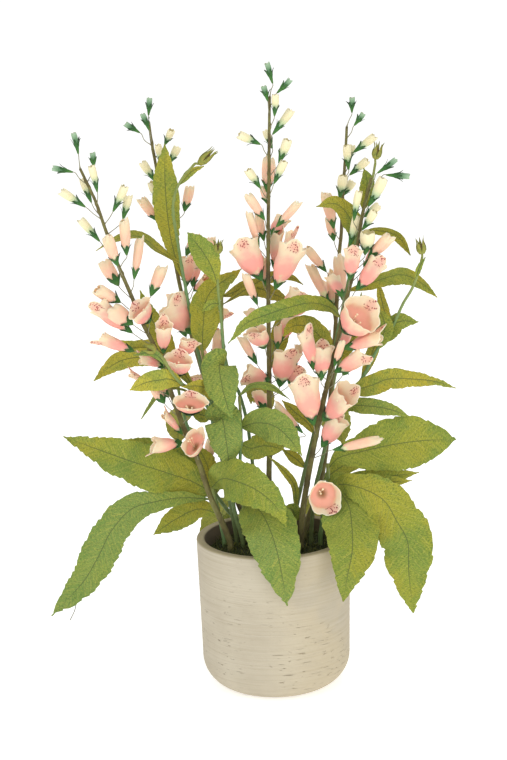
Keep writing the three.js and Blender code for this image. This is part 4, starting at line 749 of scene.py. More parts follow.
def add_blossom(skins, row, points, line, chance):
    """One blossom on its wire, where the construction has it."""
    stage, width = row[0], row[5]
    form = STAGES[stage]
    if len(row) > 9:
        form = dict(form, flat=row[9])
    beside, base, length, axis = stand(row, points)
    outward = base - beside + FORWARD * FORWARD_PULL
    if len(row) > 8:
        front, right = square_to(axis, FORWARD)
        lip_turn = np.radians(row[8])
        side = front * np.cos(lip_turn) + right * np.sin(lip_turn)
        other = np.cross(axis, side)
    else:
        side, other = square_to(axis, outward)
    half = width / 2 * MM
    frame_of = (base, side, other, axis)
    columns = BUD_ROUND if stage in "gc" else ROUND
    grid, chart, mark = petals(form, length, half, chance, columns)
    skin = skins["buds" if stage in "gc" else "petals"]
    mark = mark.copy()
    if stage == "g":
        mark[..., 3] = 0.0
        mark[..., 1] = 1.0
    elif stage == "c":
        mark[..., 1] = 0.0
    skin.add(to_world(grid, *frame_of), chart, mark)
    grid, chart, mark = calyx(form, length, half, chance, CALYX_ROUND)
    skins["calyces"].add(to_world(grid, *frame_of), chart, mark)
    add_wire(skins["wires"], at_height(line, base[2] - WIRE_DROP), base, axis, outward, chance)
    if stage == "b":
        add_stamens(skins["stamens"], length, half, frame_of, chance)


# The sub-parts of a spike, each with the name of the finish it wears.
SPIKE_PARTS = {"stem": "stem", "wires": "wire", "calyces": "calyx", "buds": "bud", "petals": "petal",
               "stamens": "stamen"}


def build_spike(name, layout, finishes, chance):
    """One spike, each of its sub-parts gathered in its own skin."""
    skins = {part: Skin() for part in SPIKE_PARTS}
    points = stem_points(layout["stem"])
    line = add_stem(skins["stem"], points, layout["radii"], chance)
    for row in layout["blossoms"]:
        add_blossom(skins, row, points, line, chance)
    for part, slot in SPIKE_PARTS.items():
        skins[part].build(name + "_" + part, finishes[slot], slot, name)


# ---- leafy sprays ------------------------------------------------------------------------------------------

LEAF_STEP = 1.7 * MM
LEAF_HALF_SKIN = 0.32 * MM
RIB_HEIGHT = 0.55 * MM
TOOTH_GAP = 7.5 * MM
TOOTH_DEPTH = 2.4 * MM
NARROWEST = 0.55 * MM
RIPPLE_SHARE = 0.07
RIPPLE_LENGTH = 34 * MM
SWAY = 0.6 * MM
VEIN_DEPTH = 0.16 * MM
VEIN_SLOPE = 1.15
BARE_WIRE_RADIUS = 0.45 * MM
BARE_WIRES = {"spray_low_left": [[-188, 100, 21], [-195, 87, 21], [-198, 77, 20], [-203, 67, 19]]}
ROOT_FULLNESS = 0.78
TIP_TAPER = 0.12
BEHIND = -40


def blade_share(share, widest):
    """The half width along a blade: sin(pi x share^p)^q. p puts the widest place where it is, and q grows
    from root to tip, so that the root is full and the tip is drawn out to a point."""
    power = np.log(0.5) / np.log(widest)
    return np.maximum(np.sin(np.pi * np.clip(share, 0, 1) ** power), 0) ** (ROOT_FULLNESS + TIP_TAPER * share)


def add_leaf(skin, row, points, tone, chance):
    """One blade, a closed strip: columns run over the upper face and back under the lower one.

    Across it, x runs from -1 to 1. A point stands x times the half width to the side, raised by the fold
    times |x|, by a ripple sin(2 pi s / RIPPLE_LENGTH) |x|^1.6 along the length s, and sunk by shallow side
    veins. The upper face looks to the front, except on a leaf that hangs down behind.
    """
    height, midrib, width, widest, root_roll, tip_roll, fold = row[:7]
    line = smooth_line(np.vstack([at_height(points, height * MM), place(midrib)]), LEAF_STEP)
    rows = len(line)
    share = np.linspace(0, 1, rows)[:, None]
    along = lengths(line)[:, None]
    axis = unit(np.gradient(line, axis=0))
    facing, _ = square_to(axis, unit(FRONT_POINT - line))
    flat = np.cross(facing, axis)
    roll = np.radians(root_roll + (tip_roll - root_roll) * share)
    side = flat * np.cos(roll) + facing * np.sin(roll)
    normal = facing * np.cos(roll) - flat * np.sin(roll)
    half = width / 2 * MM
    full = half * blade_share(share, widest) * 0.97
    fine = np.clip(width / 40, 0.35, 1)
    gap = TOOTH_GAP * (0.45 + 0.55 * fine)
    reaches = []
    for _ in range(2):
        beat = along / gap + chance.random()
        step = beat % 1
        sizes = chance.uniform(0.1, 1.0, int(beat[-1, 0]) + 2)[beat.astype(int)]
        cut = TOOTH_DEPTH * fine * sizes * step * ease(share, 0.12, 0.35) * (share < 0.985)
        wander = 0.05 * half * waves(along / MM, chance, 3, 0.08, 0.3)
        reaches.append(np.maximum(full + wander - cut, NARROWEST + 0 * full))
    half_columns = 8 if width < 15 else 12
    x = np.cos(np.linspace(0, np.pi, 2 * half_columns + 1))
    x = np.sign(x) * np.abs(x) ** 0.9
    top = x[None]
    bottom = -x[None, 1:-1]
    across = np.concatenate([top, bottom], axis=1)
    upper = np.concatenate([np.ones_like(top), -np.ones_like(bottom)], axis=1)
    reach = np.where(across > 0, reaches[0], reaches[1])
    out = across * reach
    edge = np.abs(across)
    ripple = RIPPLE_SHARE * full * edge**1.6 * np.sin(
        TURN * along / RIPPLE_LENGTH + chance.uniform(0, TURN) + np.sign(across) * chance.uniform(0.4, 1.4))
    sway = SWAY * fine * waves(along / MM + 30 * across, chance, 3, 0.05, 0.12) * edge
    vein_gap = (5 + 5 * fine) * MM
    phase = (along - np.abs(out) * VEIN_SLOPE) / vein_gap
    vein = np.abs(phase % 1 - 0.5) * vein_gap
    veins = -VEIN_DEPTH * fine * np.exp(-((vein / (0.9 * MM)) ** 2)) * ease(edge, 0.04, 0.2) * (1 - edge**4)
    rib = RIB_HEIGHT * (1 - 0.7 * share) * np.exp(-((out / (0.8 * MM)) ** 2))
    skin_half = LEAF_HALF_SKIN * np.sqrt(np.maximum(1 - edge**6, 0)) * (1 - 0.4 * share)
    lift = fold * np.abs(out) + ripple + sway + veins + upper * skin_half
    lift = lift - np.where(upper < 0, rib, -0.2 * rib)
    grid = line[:, None] + side[:, None] * out[..., None] + normal[:, None] * lift[..., None]
    chart = stacked(out, along, phase)
    hangs_behind = midrib[-1][2] < BEHIND and midrib[-1][1] < midrib[0][1]
    under = (upper > 0) if hangs_behind else (upper < 0)
    mark = stacked(share, edge, under * 1.0, tone)
    skin.add(grid, chart, mark)


def add_end_bud(skin, sepal_skin, row, points, chance):
    """The dry bud at a leafy stem's tip: a pointed globe, r = sin(pi h^0.75)^0.8, in long pointed sepals.
    Gives back its base and direction."""
    width = row[5]
    _, base, length, axis = stand(row, points)
    side, other = square_to(axis, FORWARD)
    height = np.linspace(0.02, 1, 14)[:, None]
    turns = circle(18)
    radius = 0.55 * width * MM * np.sin(np.pi * np.clip(height, 0, 0.98) ** 0.75) ** 0.8
    radius = radius * (1 + 0.12 * np.cos(5 * turns + 6 * height))
    grid = stacked(radius * np.cos(turns), radius * np.sin(turns), height * 0.72 * length)
    mark = stacked(height, 0 * turns, 0 * turns, chance.random())
    skin.add(to_world(grid, base, side, other, axis), mark=mark)
    form = dict(STAGES["g"], calyx=1.25, cup=40 * MM, teeth=0.84, curl=5.5 * MM, start=0.02,
                radii=[0.5, 1.1, 1.15, 0.9, 0.5])
    grid, chart, mark = calyx(form, length, width / 2 * MM, chance, CALYX_ROUND)
    sepal_skin.add(to_world(grid, base, side, other, axis), chart, mark)
    return base, axis


def build_spray(name, layout, finishes, chance):
    """One leafy stem with its leaves, the bud at its tip and the bare wire end under a leaf."""
    stalk, leaves = Skin(), Skin()
    points = stem_points(layout["stem"])
    line = add_stem(stalk, points, layout["radii"], chance)
    tones = LEAF_TONES[name]
    for row, tone in zip(layout["leaves"], tones):
        add_leaf(leaves, row, points, tone, chance)
    leaves.build(name + "_leaves", finishes["leaf"], "leaf", name)
    if "bud" in layout:
        globe, sepals = Skin(), Skin()
        for row in layout["bud"]:
            base, axis = add_end_bud(globe, sepals, row, points, chance)
            stalk.add(tube(smooth_line(np.array([line[-4], line[-1], base, base + 2 * MM * axis]), 1.5 * MM),
                           layout["radii"][1] * 0.9 * MM, STEM_SIDES), mark=(1, 0, 0, chance.random()))
        globe.build(name + "_end_bud", finishes["dry_bud"], "calyx", name)
        sepals.build(name + "_end_sepals", finishes["sepal"], "calyx", name)
    stalk.build(name + "_stem", finishes["leaf_stem"], "leaf_stem", name)
    if name in BARE_WIRES:
        wire = Skin()
        wire.add(tube(smooth_line(place(BARE_WIRES[name]), 2 * MM), BARE_WIRE_RADIUS, 7), mark=(0, 0, 0, 0.5))
        wire.build(name + "_wire_end", finishes["bare_wire"], "wire", name)


# ---- pot and moss ------------------------------------------------------------------------------------------

POT_ROUND = 176
MOSS_ROUND = 120
WALL_WANDER = 0.12 * MM
SPRIGS = 2600


def build_pot(material):
    """The pot: its profile of foot, quarter-round bend, wall, rounded rim and inside, turned about its axis,
    with a wall that wanders by a tenth of a millimetre as a cast one does."""
    bend = POT_WAIST - POT_FOOT_RADIUS
    arc = np.linspace(0, np.pi / 2, 24)
    outside = np.stack([POT_FOOT_RADIUS + bend * np.sin(arc), bend * (1 - np.cos(arc))], axis=1)
    wall = np.linspace(0, 1, 60)[1:-1, None]
    wall_top = np.array([POT_RADIUS, POT_HEIGHT - RIM_ROUND])
    walls = outside[-1] + wall * (wall_top - outside[-1])
    round_over = np.linspace(0, np.pi / 2, 7)
    outer_edge = np.stack([POT_RADIUS - RIM_ROUND + RIM_ROUND * np.cos(round_over),
                           POT_HEIGHT - RIM_ROUND + RIM_ROUND * np.sin(round_over)], axis=1)
    inner_edge = np.stack([POT_INSIDE + RIM_ROUND - RIM_ROUND * np.sin(round_over),
                           POT_HEIGHT - RIM_ROUND + RIM_ROUND * np.cos(round_over)], axis=1)
    down = np.linspace(POT_HEIGHT - RIM_ROUND, 50 * MM, 14)[1:]
    inside = np.stack([np.full(len(down), POT_INSIDE), down], axis=1)
    floor = np.array([[POT_FOOT_RADIUS, POT_FLOOR], [2 * MM, POT_FLOOR]])
    foot = np.array([[2 * MM, 0.0], [POT_FOOT_RADIUS * 0.6, 0.0]])
    profile = np.concatenate([foot, outside, walls, outer_edge, inner_edge, inside, floor])
    turn = circle(POT_ROUND)
    chance = np.random.default_rng(SEED)
    radius, height = profile[:, :1], profile[:, 1:]
    on_wall = ease(height, 8 * MM, 30 * MM) * (radius > POT_INSIDE + 4 * MM)
    radius = radius + WALL_WANDER * on_wall * waves(height / MM + 2 * np.cos(turn), chance, 5, 0.3, 1.6)
    grid = stacked(radius * np.cos(turn), radius * np.sin(turn), height)
    skin = Skin()
    skin.add(grid)
    return skin.build("pot_shell", material, "stone", "pot")


def moss_height(x, y):
    """The moss bed's height: its level, a slow swell and small humps, falling away at the pot's wall."""
    chance = np.random.default_rng(SEED + 1)
    swell = 1.8 * MM * waves(x / MM * 0.9 + y / MM * 0.5, chance, 4, 0.05, 0.2)
    humps = 1.6 * MM * (waves(x / MM, chance, 5, 0.5, 1.3) + waves(y / MM, chance, 5, 0.5, 1.3))
    fall = 5 * MM * ease(np.hypot(x, y), 0.82 * MOSS_OUTER, MOSS_OUTER)
    return MOSS_LEVEL + swell + humps - fall


def build_moss(material, sprig_material):
    """The moss bed, and sprigs on it: blades bent along an arc each, their thickness r(1 - 0.8 s)."""
    turn = circle(MOSS_ROUND)
    radius = np.linspace(0.2 * MM, MOSS_OUTER, 56)[:, None]
    x, y = radius * np.cos(turn), radius * np.sin(turn)
    top = np.stack([x, y, moss_height(x, y)], axis=-1)[::-1]
    low_radius = np.array([[40 * MM], [MOSS_OUTER]])
    low_height = np.array([[POT_FLOOR + 0.3 * MM], [54 * MM]])
    low = stacked(low_radius * np.cos(turn), low_radius * np.sin(turn), low_height)
    bed = Skin()
    bed.add(np.concatenate([low, top]))
    bed.build("moss_bed", material, "moss", "moss")
    chance = np.random.default_rng(SEED + 2)
    sprigs = Skin()
    out = MOSS_OUTER * np.sqrt(chance.uniform(0, 0.93, SPRIGS))
    round_it = chance.uniform(0, TURN, SPRIGS)
    foot = np.stack([out * np.cos(round_it), out * np.sin(round_it)], axis=1)
    foot = np.column_stack([foot, moss_height(foot[:, 0], foot[:, 1]) - 0.6 * MM])
    tall = chance.uniform(2.5, 6.5, SPRIGS)[:, None] * MM
    lean_turn = chance.uniform(0, TURN, SPRIGS)
    lean = np.column_stack([np.cos(lean_turn), np.sin(lean_turn), np.zeros(SPRIGS)])
    share = np.linspace(0, 1, 4)
    arc = share * chance.uniform(0.6, 2.2, SPRIGS)[:, None]
    line = foot[:, None] + tall[..., None] * (
        np.sin(arc)[..., None] * np.array([0, 0, 1.0]) + (1 - np.cos(arc))[..., None] * lean[:, None])
    thick = chance.uniform(0.3, 0.6, SPRIGS)[:, None] * MM * (1 - 0.8 * share)
    sideways = np.cross(lean, [0, 0, 1.0])
    corner = circle(3)
    ring = (sideways[:, None, None] * np.cos(corner)[None, None, :, None]
            + lean[:, None, None] * np.sin(corner)[None, None, :, None])
    grids = line[:, :, None] + ring * thick[..., None, None]
    for grid, tint in zip(grids, chance.random(SPRIGS)):
        sprigs.add(grid, mark=(0, 0, 0, tint))
    sprigs.build("moss_sprigs", sprig_material, "moss", "moss")


# ---- finishes ----------------------------------------------------------------------------------------------


def colour(red, green, blue):
    """The linear colour of display values from 0 to 255."""
    value = np.array([red, green, blue]) / 255
    linear = np.where(value <= 0.04045, value / 12.92, ((value + 0.055) / 1.055) ** 2.4)
    return (*(float(part) for part in linear), 1.0)


class Finish:
    """A material with short ways to add nodes to it. Each way returns an output socket."""

    def __init__(self, name, roughness, sheen=0.0):
        self.material = bpy.data.materials.new(name)
        self.material.use_nodes = True
        self.tree = self.material.node_tree
        self.shader = self.tree.nodes["Principled BSDF"]
        self.shader.inputs["Roughness"].default_value = roughness
        self.shader.inputs["Sheen Weight"].default_value = sheen
        self.shader.inputs["Sheen Roughness"].default_value = 0.6

    def node(self, kind, inputs, **settings):
        node = self.tree.nodes.new(kind)
        for name, value in settings.items():
            setattr(node, name, value)
        for name, value in inputs.items():
            if isinstance(value, bpy.types.NodeSocket):
                self.tree.links.new(value, node.inputs[name])
            else:
                node.inputs[name].default_value = value
        return node

    def sums(self, operation, first, second=0.0):
        return self.node("ShaderNodeMath", {0: first, 1: second}, operation=operation).outputs[0]

    def product(self, *values):
        result = values[0]
        for value in values[1:]:
            result = self.sums("MULTIPLY", result, value)
        return result

    def ease(self, value, low, high, start=0.0, end=1.0):
        """The smooth S from start to end as value goes from low to high."""
        limits = {"Value": value, "From Min": low, "From Max": high, "To Min": start, "To Max": end}
        return self.node("ShaderNodeMapRange", limits, interpolation_type="SMOOTHSTEP").outputs["Result"]

    def mix(self, share, first, second, blend="MIX"):
        inputs = {0: share, 6: first, 7: second}
        return self.node("ShaderNodeMix", inputs, data_type="RGBA", blend_type=blend).outputs[2]

    def wash(self, shade, value, low, high, strength, tone):
        """A tone laid over a shade: none of it where the value is low, its strength where it is high."""
        return self.mix(self.ease(value, low, high, 0.0, strength), shade, tone)

    def ramp(self, value, *stops):
        """Colours at places along a value, blended between."""
        node = self.node("ShaderNodeValToRGB", {"Fac": value})
        steps = node.color_ramp.elements
        for _ in range(len(stops) - 2):
            steps.new(0.5)
        for step, (at, shade) in zip(steps, stops):
            step.position = at
            step.color = shade
        return node.outputs["Color"]

    def place(self):
        return self.node("ShaderNodeTexCoord", {}).outputs["Object"]

    def chart(self):
        return self.node("ShaderNodeAttribute", {}, attribute_name="chart").outputs["Vector"]

    def parts(self, vector):
        return self.node("ShaderNodeSeparateXYZ", {"Vector": vector}).outputs

    def marks(self):
        """The four shares kept on the skin."""
        node = self.node("ShaderNodeAttribute", {}, attribute_name="mark")
        red, green, blue = self.parts(node.outputs["Vector"])[:3]
        return red, green, blue, node.outputs["Alpha"]

    def stretch(self, vector, across, along, deep):
        inputs = {0: vector, 1: (across, along, deep)}
        return self.node("ShaderNodeVectorMath", inputs, operation="MULTIPLY").outputs[0]

    def noise(self, vector, scale, detail=3.0, roughness=0.55):
        inputs = {"Vector": vector, "Scale": scale, "Detail": detail, "Roughness": roughness}
        return self.node("ShaderNodeTexNoise", inputs).outputs["Fac"]

    def drawn(self, vector, across, along, deep, detail=3.0):
        """Noise drawn out along the vector's parts, with so many swells a metre along each."""
        return self.noise(self.stretch(vector, across, along, deep), 1.0, detail)

    def cells(self, vector, scale):
        """Distance to the middle of the nearest chance cell, and the cell's chance value."""
        node = self.node("ShaderNodeTexVoronoi", {"Vector": vector, "Scale": scale})
        return node.outputs["Distance"], self.parts(node.outputs["Color"])[0]

    def relief(self, *layers):
        """Bumps, each (height share, metres), one over the other."""
        normal = None
        for height, metres in layers:
            inputs = {"Height": height, "Distance": metres, "Strength": 1.0}
            if normal is not None:
                inputs["Normal"] = normal
            normal = self.node("ShaderNodeBump", inputs).outputs["Normal"]
        self.tree.links.new(normal, self.shader.inputs["Normal"])

    def paint(self, shade):
        self.tree.links.new(shade, self.shader.inputs["Base Color"])
        return self.material


CREAM = colour(239, 209, 177)
PEACH = colour(239, 199, 172)
CORAL = colour(236, 160, 150)
SALMON = colour(236, 180, 161)
PALE_GREEN = colour(216, 222, 176)
SPOT_RED = colour(140, 38, 48)
SPOT_PINK = colour(224, 118, 126)
SPOT_SCALE = 680.0


def petal_finish():
    """Printed cloth petals: pale green foot, peach to coral body, cream rim, salmon throat whose bottom is
    painted dark olive-brown as shade, and red spots.
    """
    finish = Finish("petal_cloth", roughness=0.78)
    finish.shader.inputs["Subsurface Weight"].default_value = 0.5
    finish.shader.inputs["Subsurface Scale"].default_value = 2.5 * MM
    finish.shader.inputs["Subsurface Radius"].default_value = (1.0, 0.6, 0.5)
    along, spotted, inside, blush = finish.marks()
    chart = finish.chart()
    tint = finish.parts(chart)[2]
    cloud = finish.noise(finish.place(), 90.0)
    streaks = finish.drawn(chart, 900.0, 60.0, 0.0)
    shift = finish.sums("ADD", along, finish.ease(cloud, 0.3, 0.7, -0.1, 0.1))
    warmth = finish.product(blush, finish.ease(tint, 0.0, 1.0, 0.75, 1.0))
    body = finish.mix(warmth, PEACH, CORAL)
    outside = finish.mix(finish.ease(shift, 0.38, 0.88), body, CREAM)
    outside = finish.mix(finish.ease(shift, 0.02, 0.2), PALE_GREEN, outside)
    depth_shade = finish.mix(finish.ease(blush, 0.6, 0.9), PEACH, SALMON)
    throat = finish.mix(finish.ease(shift, 0.5, 0.92), depth_shade, CREAM)
    # Painted shade: the deepest part of an open bell's throat is painted dark olive-brown, standing for the
    # shade down in the hole.
    throat = finish.mix(finish.ease(along, 0.26, 0.38), colour(146, 112, 74), throat)
    shade = finish.mix(inside, outside, throat)
    shade = finish.wash(shade, along, 0.965, 0.995, 0.7, colour(250, 238, 206))
    distance, pick = finish.cells(finish.stretch(chart, 1.0, 1.0, 0.0), SPOT_SCALE)
    patch = finish.product(finish.ease(spotted, 0.3, 0.5), finish.ease(blush, 0.7, 0.9))
    chosen = finish.ease(pick, 0.22, 0.27)
    halo = finish.product(finish.ease(spotted, 0.25, 0.85), finish.ease(blush, 0.7, 0.9), 0.45)
    shade = finish.mix(halo, shade, SPOT_PINK)
    dots = finish.product(patch, chosen, finish.ease(distance, 0.46, 0.34))
    shade = finish.mix(dots, shade, SPOT_RED)
    shade = finish.mix(0.16, shade, finish.ramp(streaks, (0.3, colour(225, 190, 165)), (0.7, CREAM)),
                       "SOFT_LIGHT")
    weave = finish.noise(finish.stretch(chart, 1.0, 1.0, 0.0), 1500.0, 2.0)
    finish.relief((streaks, 0.00008), (weave, 0.00006), (cloud, 0.0004))
    return finish.paint(shade)


def bud_finish():
    """Closed buds: mint at the calyx and cream above, and mint-tipped green ones at the top."""
    finish = Finish("bud_cloth", roughness=0.75, sheen=0.2)
    along, green, inside, _ = finish.marks()
    chart = finish.chart()
    streaks = finish.drawn(chart, 900.0, 90.0, 0.0)
    cream = finish.ramp(along, (0.0, colour(128, 182, 146)), (0.28, colour(205, 220, 176)),
                        (0.5, colour(242, 234, 192)), (1.0, colour(247, 240, 206)))
    mint = finish.ramp(along, (0.0, colour(44, 96, 48)), (0.5, colour(88, 138, 94)),
                       (1.0, colour(162, 194, 164)))
    shade = finish.mix(green, cream, mint)
    shade = finish.mix(finish.product(inside, 0.5), shade, colour(214, 205, 150))
    shade = finish.mix(0.3, shade, finish.ramp(streaks, (0.3, colour(190, 195, 160)), (0.7, CREAM)),
                       "MULTIPLY")
    finish.relief((streaks, 0.00012))
    return finish.paint(shade)


def calyx_finish():
    """Stiff green calyx cloth, darker at its points and brown inside them."""
    finish = Finish("calyx_cloth", roughness=0.74)
    tall, _, inside, tint = finish.marks()
    cloud = finish.noise(finish.place(), 420.0)
    shade = finish.ramp(tall, (0.0, colour(84, 122, 54)), (0.35, colour(52, 106, 40)),
                        (0.75, colour(40, 84, 36)), (1.0, colour(36, 50, 30)))
    shade = finish.mix(finish.product(finish.ease(tint, 0.4, 1.0), 0.5), shade, colour(70, 124, 52))
    shade = finish.wash(shade, cloud, 0.5, 0.75, 0.55, colour(34, 74, 32))
    shade = finish.mix(finish.product(inside, 0.7), shade, colour(62, 62, 48))
    weave = finish.noise(finish.place(), 1800.0, 2.0)
    finish.relief((weave, 0.0001), (cloud, 0.0003))
    return finish.paint(shade)


def stem_finish():
    """Main stems: olive tape over wire, browner in patches, with fine windings."""
    finish = Finish("stem_tape", roughness=0.7)
    share = finish.marks()[0]
    chart = finish.chart()
    patches = finish.noise(finish.place(), 60.0, 4.0)
    grain = finish.drawn(chart, 500.0, 160.0, 0.0, 4.0)
    shade = finish.ramp(patches, (0.32, colour(78, 69, 38)), (0.5, colour(106, 98, 52)),
                        (0.68, colour(118, 118, 62)))
    shade = finish.wash(shade, grain, 0.55, 0.72, 0.6, colour(150, 146, 96))
    shade = finish.wash(shade, grain, 0.45, 0.3, 0.55, colour(62, 54, 34))
    shade = finish.mix(finish.ease(share, 0.0, 0.25, 0.45, 0.0), shade, colour(84, 84, 50))
    windings = finish.drawn(chart, 60.0, 900.0, 0.0, 2.0)
    finish.relief((grain, 0.0004), (windings, 0.0002))
    return finish.paint(shade)


def leaf_stem_finish():
    """Leafy stems: green tape that turns olive towards the tip and darker near the moss."""
    finish = Finish("leaf_stem_tape", roughness=0.62)
    share = finish.marks()[0]
    grain = finish.drawn(finish.chart(), 700.0, 200.0, 0.0, 4.0)
    shade = finish.ramp(share, (0.0, colour(84, 86, 50)), (0.25, colour(98, 116, 64)),
                        (0.7, colour(98, 136, 84)), (1.0, colour(134, 140, 66)))
    shade = finish.wash(shade, grain, 0.5, 0.72, 0.4, colour(146, 168, 112))
    shade = finish.wash(shade, grain, 0.46, 0.3, 0.5, colour(60, 80, 48))
    finish.relief((grain, 0.0003))
    return finish.paint(shade)


def leaf_finish():
    """Woven leaf cloth: green threads with yellow and dark green flecks, side veins and a dark midrib, and
    a plainer olive on the under face."""
    finish = Finish("leaf_cloth", roughness=0.8)
    share, edge, under, tone = finish.marks()
    chart = finish.chart()
    out, _, phase = finish.parts(chart)[:3]
    cloud = finish.noise(finish.place(), 34.0, 4.0)
    broad = finish.noise(finish.place(), 13.0, 2.0)
    weft = finish.drawn(chart, 380.0, 1700.0, 0.0, 2.0)
    warp = finish.drawn(chart, 1700.0, 420.0, 0.0, 2.0)
    moved = finish.sums("ADD", tone, finish.ease(broad, 0.35, 0.65, -0.14, 0.14))
    upper = finish.ramp(moved, (0.0, colour(192, 186, 66)), (0.33, colour(168, 154, 34)),
                        (0.62, colour(134, 144, 40)), (1.0, colour(112, 136, 62)))
    upper = finish.wash(upper, cloud, 0.46, 0.62, 0.55, colour(88, 124, 48))
    threads = finish.drawn(chart, 90.0, 0.0, 7.0, 3.0)
    upper = finish.wash(upper, threads, 0.52, 0.68, 0.32, colour(186, 178, 76))
    upper = finish.wash(upper, threads, 0.47, 0.33, 0.42, colour(86, 110, 44))
    lower = finish.mix(finish.ease(tone, 0.4, 1.0, 0.0, 0.8), colour(150, 142, 44), colour(122, 138, 50))
    shade = finish.mix(under, upper, lower)
    shade = finish.wash(shade, warp, 0.54, 0.66, 0.5, colour(186, 178, 66))
    shade = finish.wash(shade, weft, 0.54, 0.66, 0.35, colour(170, 172, 72))
    shade = finish.wash(shade, weft, 0.48, 0.38, 0.7, colour(70, 94, 34))
    beat = finish.sums("ABSOLUTE", finish.sums("SUBTRACT", finish.sums("FRACT", phase), 0.5))
    vein = finish.product(finish.ease(beat, 0.09, 0.02), finish.ease(edge, 0.95, 0.6))
    shade = finish.mix(finish.product(vein, 0.22), shade, colour(176, 172, 92))
    rib = finish.ease(finish.sums("ABSOLUTE", out), 0.00062, 0.00028)
    rib = finish.product(rib, finish.ease(share, 1.0, 0.75))
    shade = finish.mix(finish.product(rib, 0.75), shade, colour(72, 84, 40))
    shade = finish.wash(shade, edge, 0.985, 1.0, 0.4, colour(180, 184, 110))
    finish.relief((weft, 0.00012), (warp, 0.00012), (vein, -0.0002), (cloud, 0.0006))
    return finish.paint(shade)


def plain_finish(name, roughness, scale, grain, *stops):
    """A finish of one mottled colour: a ramp over a noise, which also makes its fine relief."""
    finish = Finish(name, roughness=roughness)
    mottle = finish.noise(finish.place(), scale, 4.0)
    finish.relief((mottle, grain))
    return finish.paint(finish.ramp(mottle, *stops))


def stone_finish():
    """Cast stone: cream with fine level streaks, pits and scratches, a darker rim, and an inside wall painted
    dark brown as shade.
    """
    finish = Finish("pot_stone", roughness=0.85)
    place_on = finish.place()
    x, y, z = finish.parts(place_on)[:3]
    streaks = finish.drawn(place_on, 12.0, 12.0, 760.0, 3.0)
    bands = finish.drawn(place_on, 4.0, 4.0, 60.0, 3.0)
    cloud = finish.noise(place_on, 16.0, 4.0)
    grain = finish.noise(place_on, 900.0, 2.0)
    pit_field = finish.drawn(place_on, 110.0, 110.0, 420.0, 2.0)
    scratch_field = finish.drawn(place_on, 45.0, 45.0, 900.0, 2.0)
    shade = finish.ramp(cloud, (0.35, colour(180, 170, 149)), (0.65, colour(192, 183, 162)))
    shade = finish.wash(shade, streaks, 0.5, 0.68, 0.32, colour(164, 152, 129))
    shade = finish.wash(shade, bands, 0.55, 0.7, 0.2, colour(170, 159, 136))
    shade = finish.wash(shade, streaks, 0.46, 0.32, 0.3, colour(198, 190, 172))
    low = finish.ease(z, 0.125, 0.06, 0.3, 1.0)
    patchy = finish.ease(cloud, 0.42, 0.56, 0.15, 1.0)
    pits = finish.product(finish.ease(pit_field, 0.655, 0.73), low, patchy)
    scratches = finish.product(finish.ease(scratch_field, 0.665, 0.74), low, patchy)
    dents = finish.sums("MAXIMUM", pits, scratches)
    shade = finish.mix(finish.product(dents, 0.65), shade, colour(118, 102, 82))
    radius = finish.sums("SQRT", finish.sums("ADD", finish.product(x, x), finish.product(y, y)))
    rim = finish.ease(z, POT_HEIGHT - 1.6 * MM, POT_HEIGHT - 0.6 * MM)
    yellowed = finish.product(finish.ease(x, -0.03, 0.06), finish.ease(cloud, 0.35, 0.6), 0.5)
    shade = finish.mix(yellowed, shade, colour(188, 172, 138))
    shade = finish.mix(finish.product(rim, 0.8), shade, colour(162, 151, 117))
    # Painted shade: the pot's inner wall below the rim, down past the moss, is painted dark brown.
    inner_wall_shade = finish.product(
        finish.ease(radius, POT_INSIDE + 0.8 * MM, POT_INSIDE + 0.2 * MM),
        finish.ease(z, POT_HEIGHT, POT_HEIGHT - 1.5 * MM), finish.ease(z, 40 * MM, 60 * MM))
    shade = finish.mix(finish.product(inner_wall_shade, 0.85), shade, colour(92, 78, 56))
    finish.relief((dents, -0.0005), (streaks, 0.00025), (grain, 0.00008))
    return finish.paint(shade)


def moss_finish(name, *stops):
    """Dark, damp moss in mottled greens."""
    finish = Finish(name, roughness=0.95)
    tint = finish.marks()[3]
    mottle = finish.sums("ADD", finish.noise(finish.place(), 260.0, 4.0), finish.product(tint, 0.3))
    finish.relief((mottle, 0.0012))
    return finish.paint(finish.ramp(mottle, *stops))


def all_finishes():
    """Every finish, by the sub-part that wears it."""
    return {
        "petal": petal_finish(),
        "bud": bud_finish(),
        "calyx": calyx_finish(),
        "stem": stem_finish(),
        "leaf_stem": leaf_stem_finish(),
        "leaf": leaf_finish(),
        "stone": stone_finish(),
        "wire": plain_finish("wire_paper", 0.6, 500.0, 0.0001, (0.3, colour(120, 118, 88)),
                             (0.7, colour(158, 154, 126))),
        "bare_wire": plain_finish("bare_wire", 0.5, 500.0, 0.0001, (0.3, colour(92, 92, 70)),
                                  (0.7, colour(120, 118, 94))),
        "stamen": plain_finish("stamen_wax", 0.4, 900.0, 0.0001, (0.3, colour(242, 214, 162)),
                               (0.7, colour(253, 240, 212))),
        "dry_bud": plain_finish("dry_bud_cloth", 0.8, 330.0, 0.0005, (0.35, colour(92, 70, 42)),
                                (0.55, colour(122, 108, 54)), (0.7, colour(138, 134, 66))),
        "sepal": plain_finish("sepal_cloth", 0.75, 300.0, 0.0003, (0.3, colour(112, 122, 52)),
                              (0.55, colour(146, 146, 62)), (0.72, colour(150, 128, 60))),
        "moss": moss_finish("moss_mat", (0.3, colour(22, 26, 10)), (0.6, colour(46, 53, 20)),
                            (0.9, colour(78, 84, 30))),
        "sprig": moss_finish("moss_sprig", (0.3, colour(32, 38, 14)), (0.65, colour(70, 79, 28)),
                             (0.95, colour(126, 126, 50))),
    }


# ---- floor, light and camera -------------------------------------------------------------------------------

EYE = np.array([0.0, -1.8, 0.72445])
PITCH, YAW, ROLL = np.radians([13.1, 0.47, 1.7])
LENS = 91.28
FLOOR_REACH = 60.0
FLOOR_GLOW = 0.46
WORLD_LIGHT = 0.66


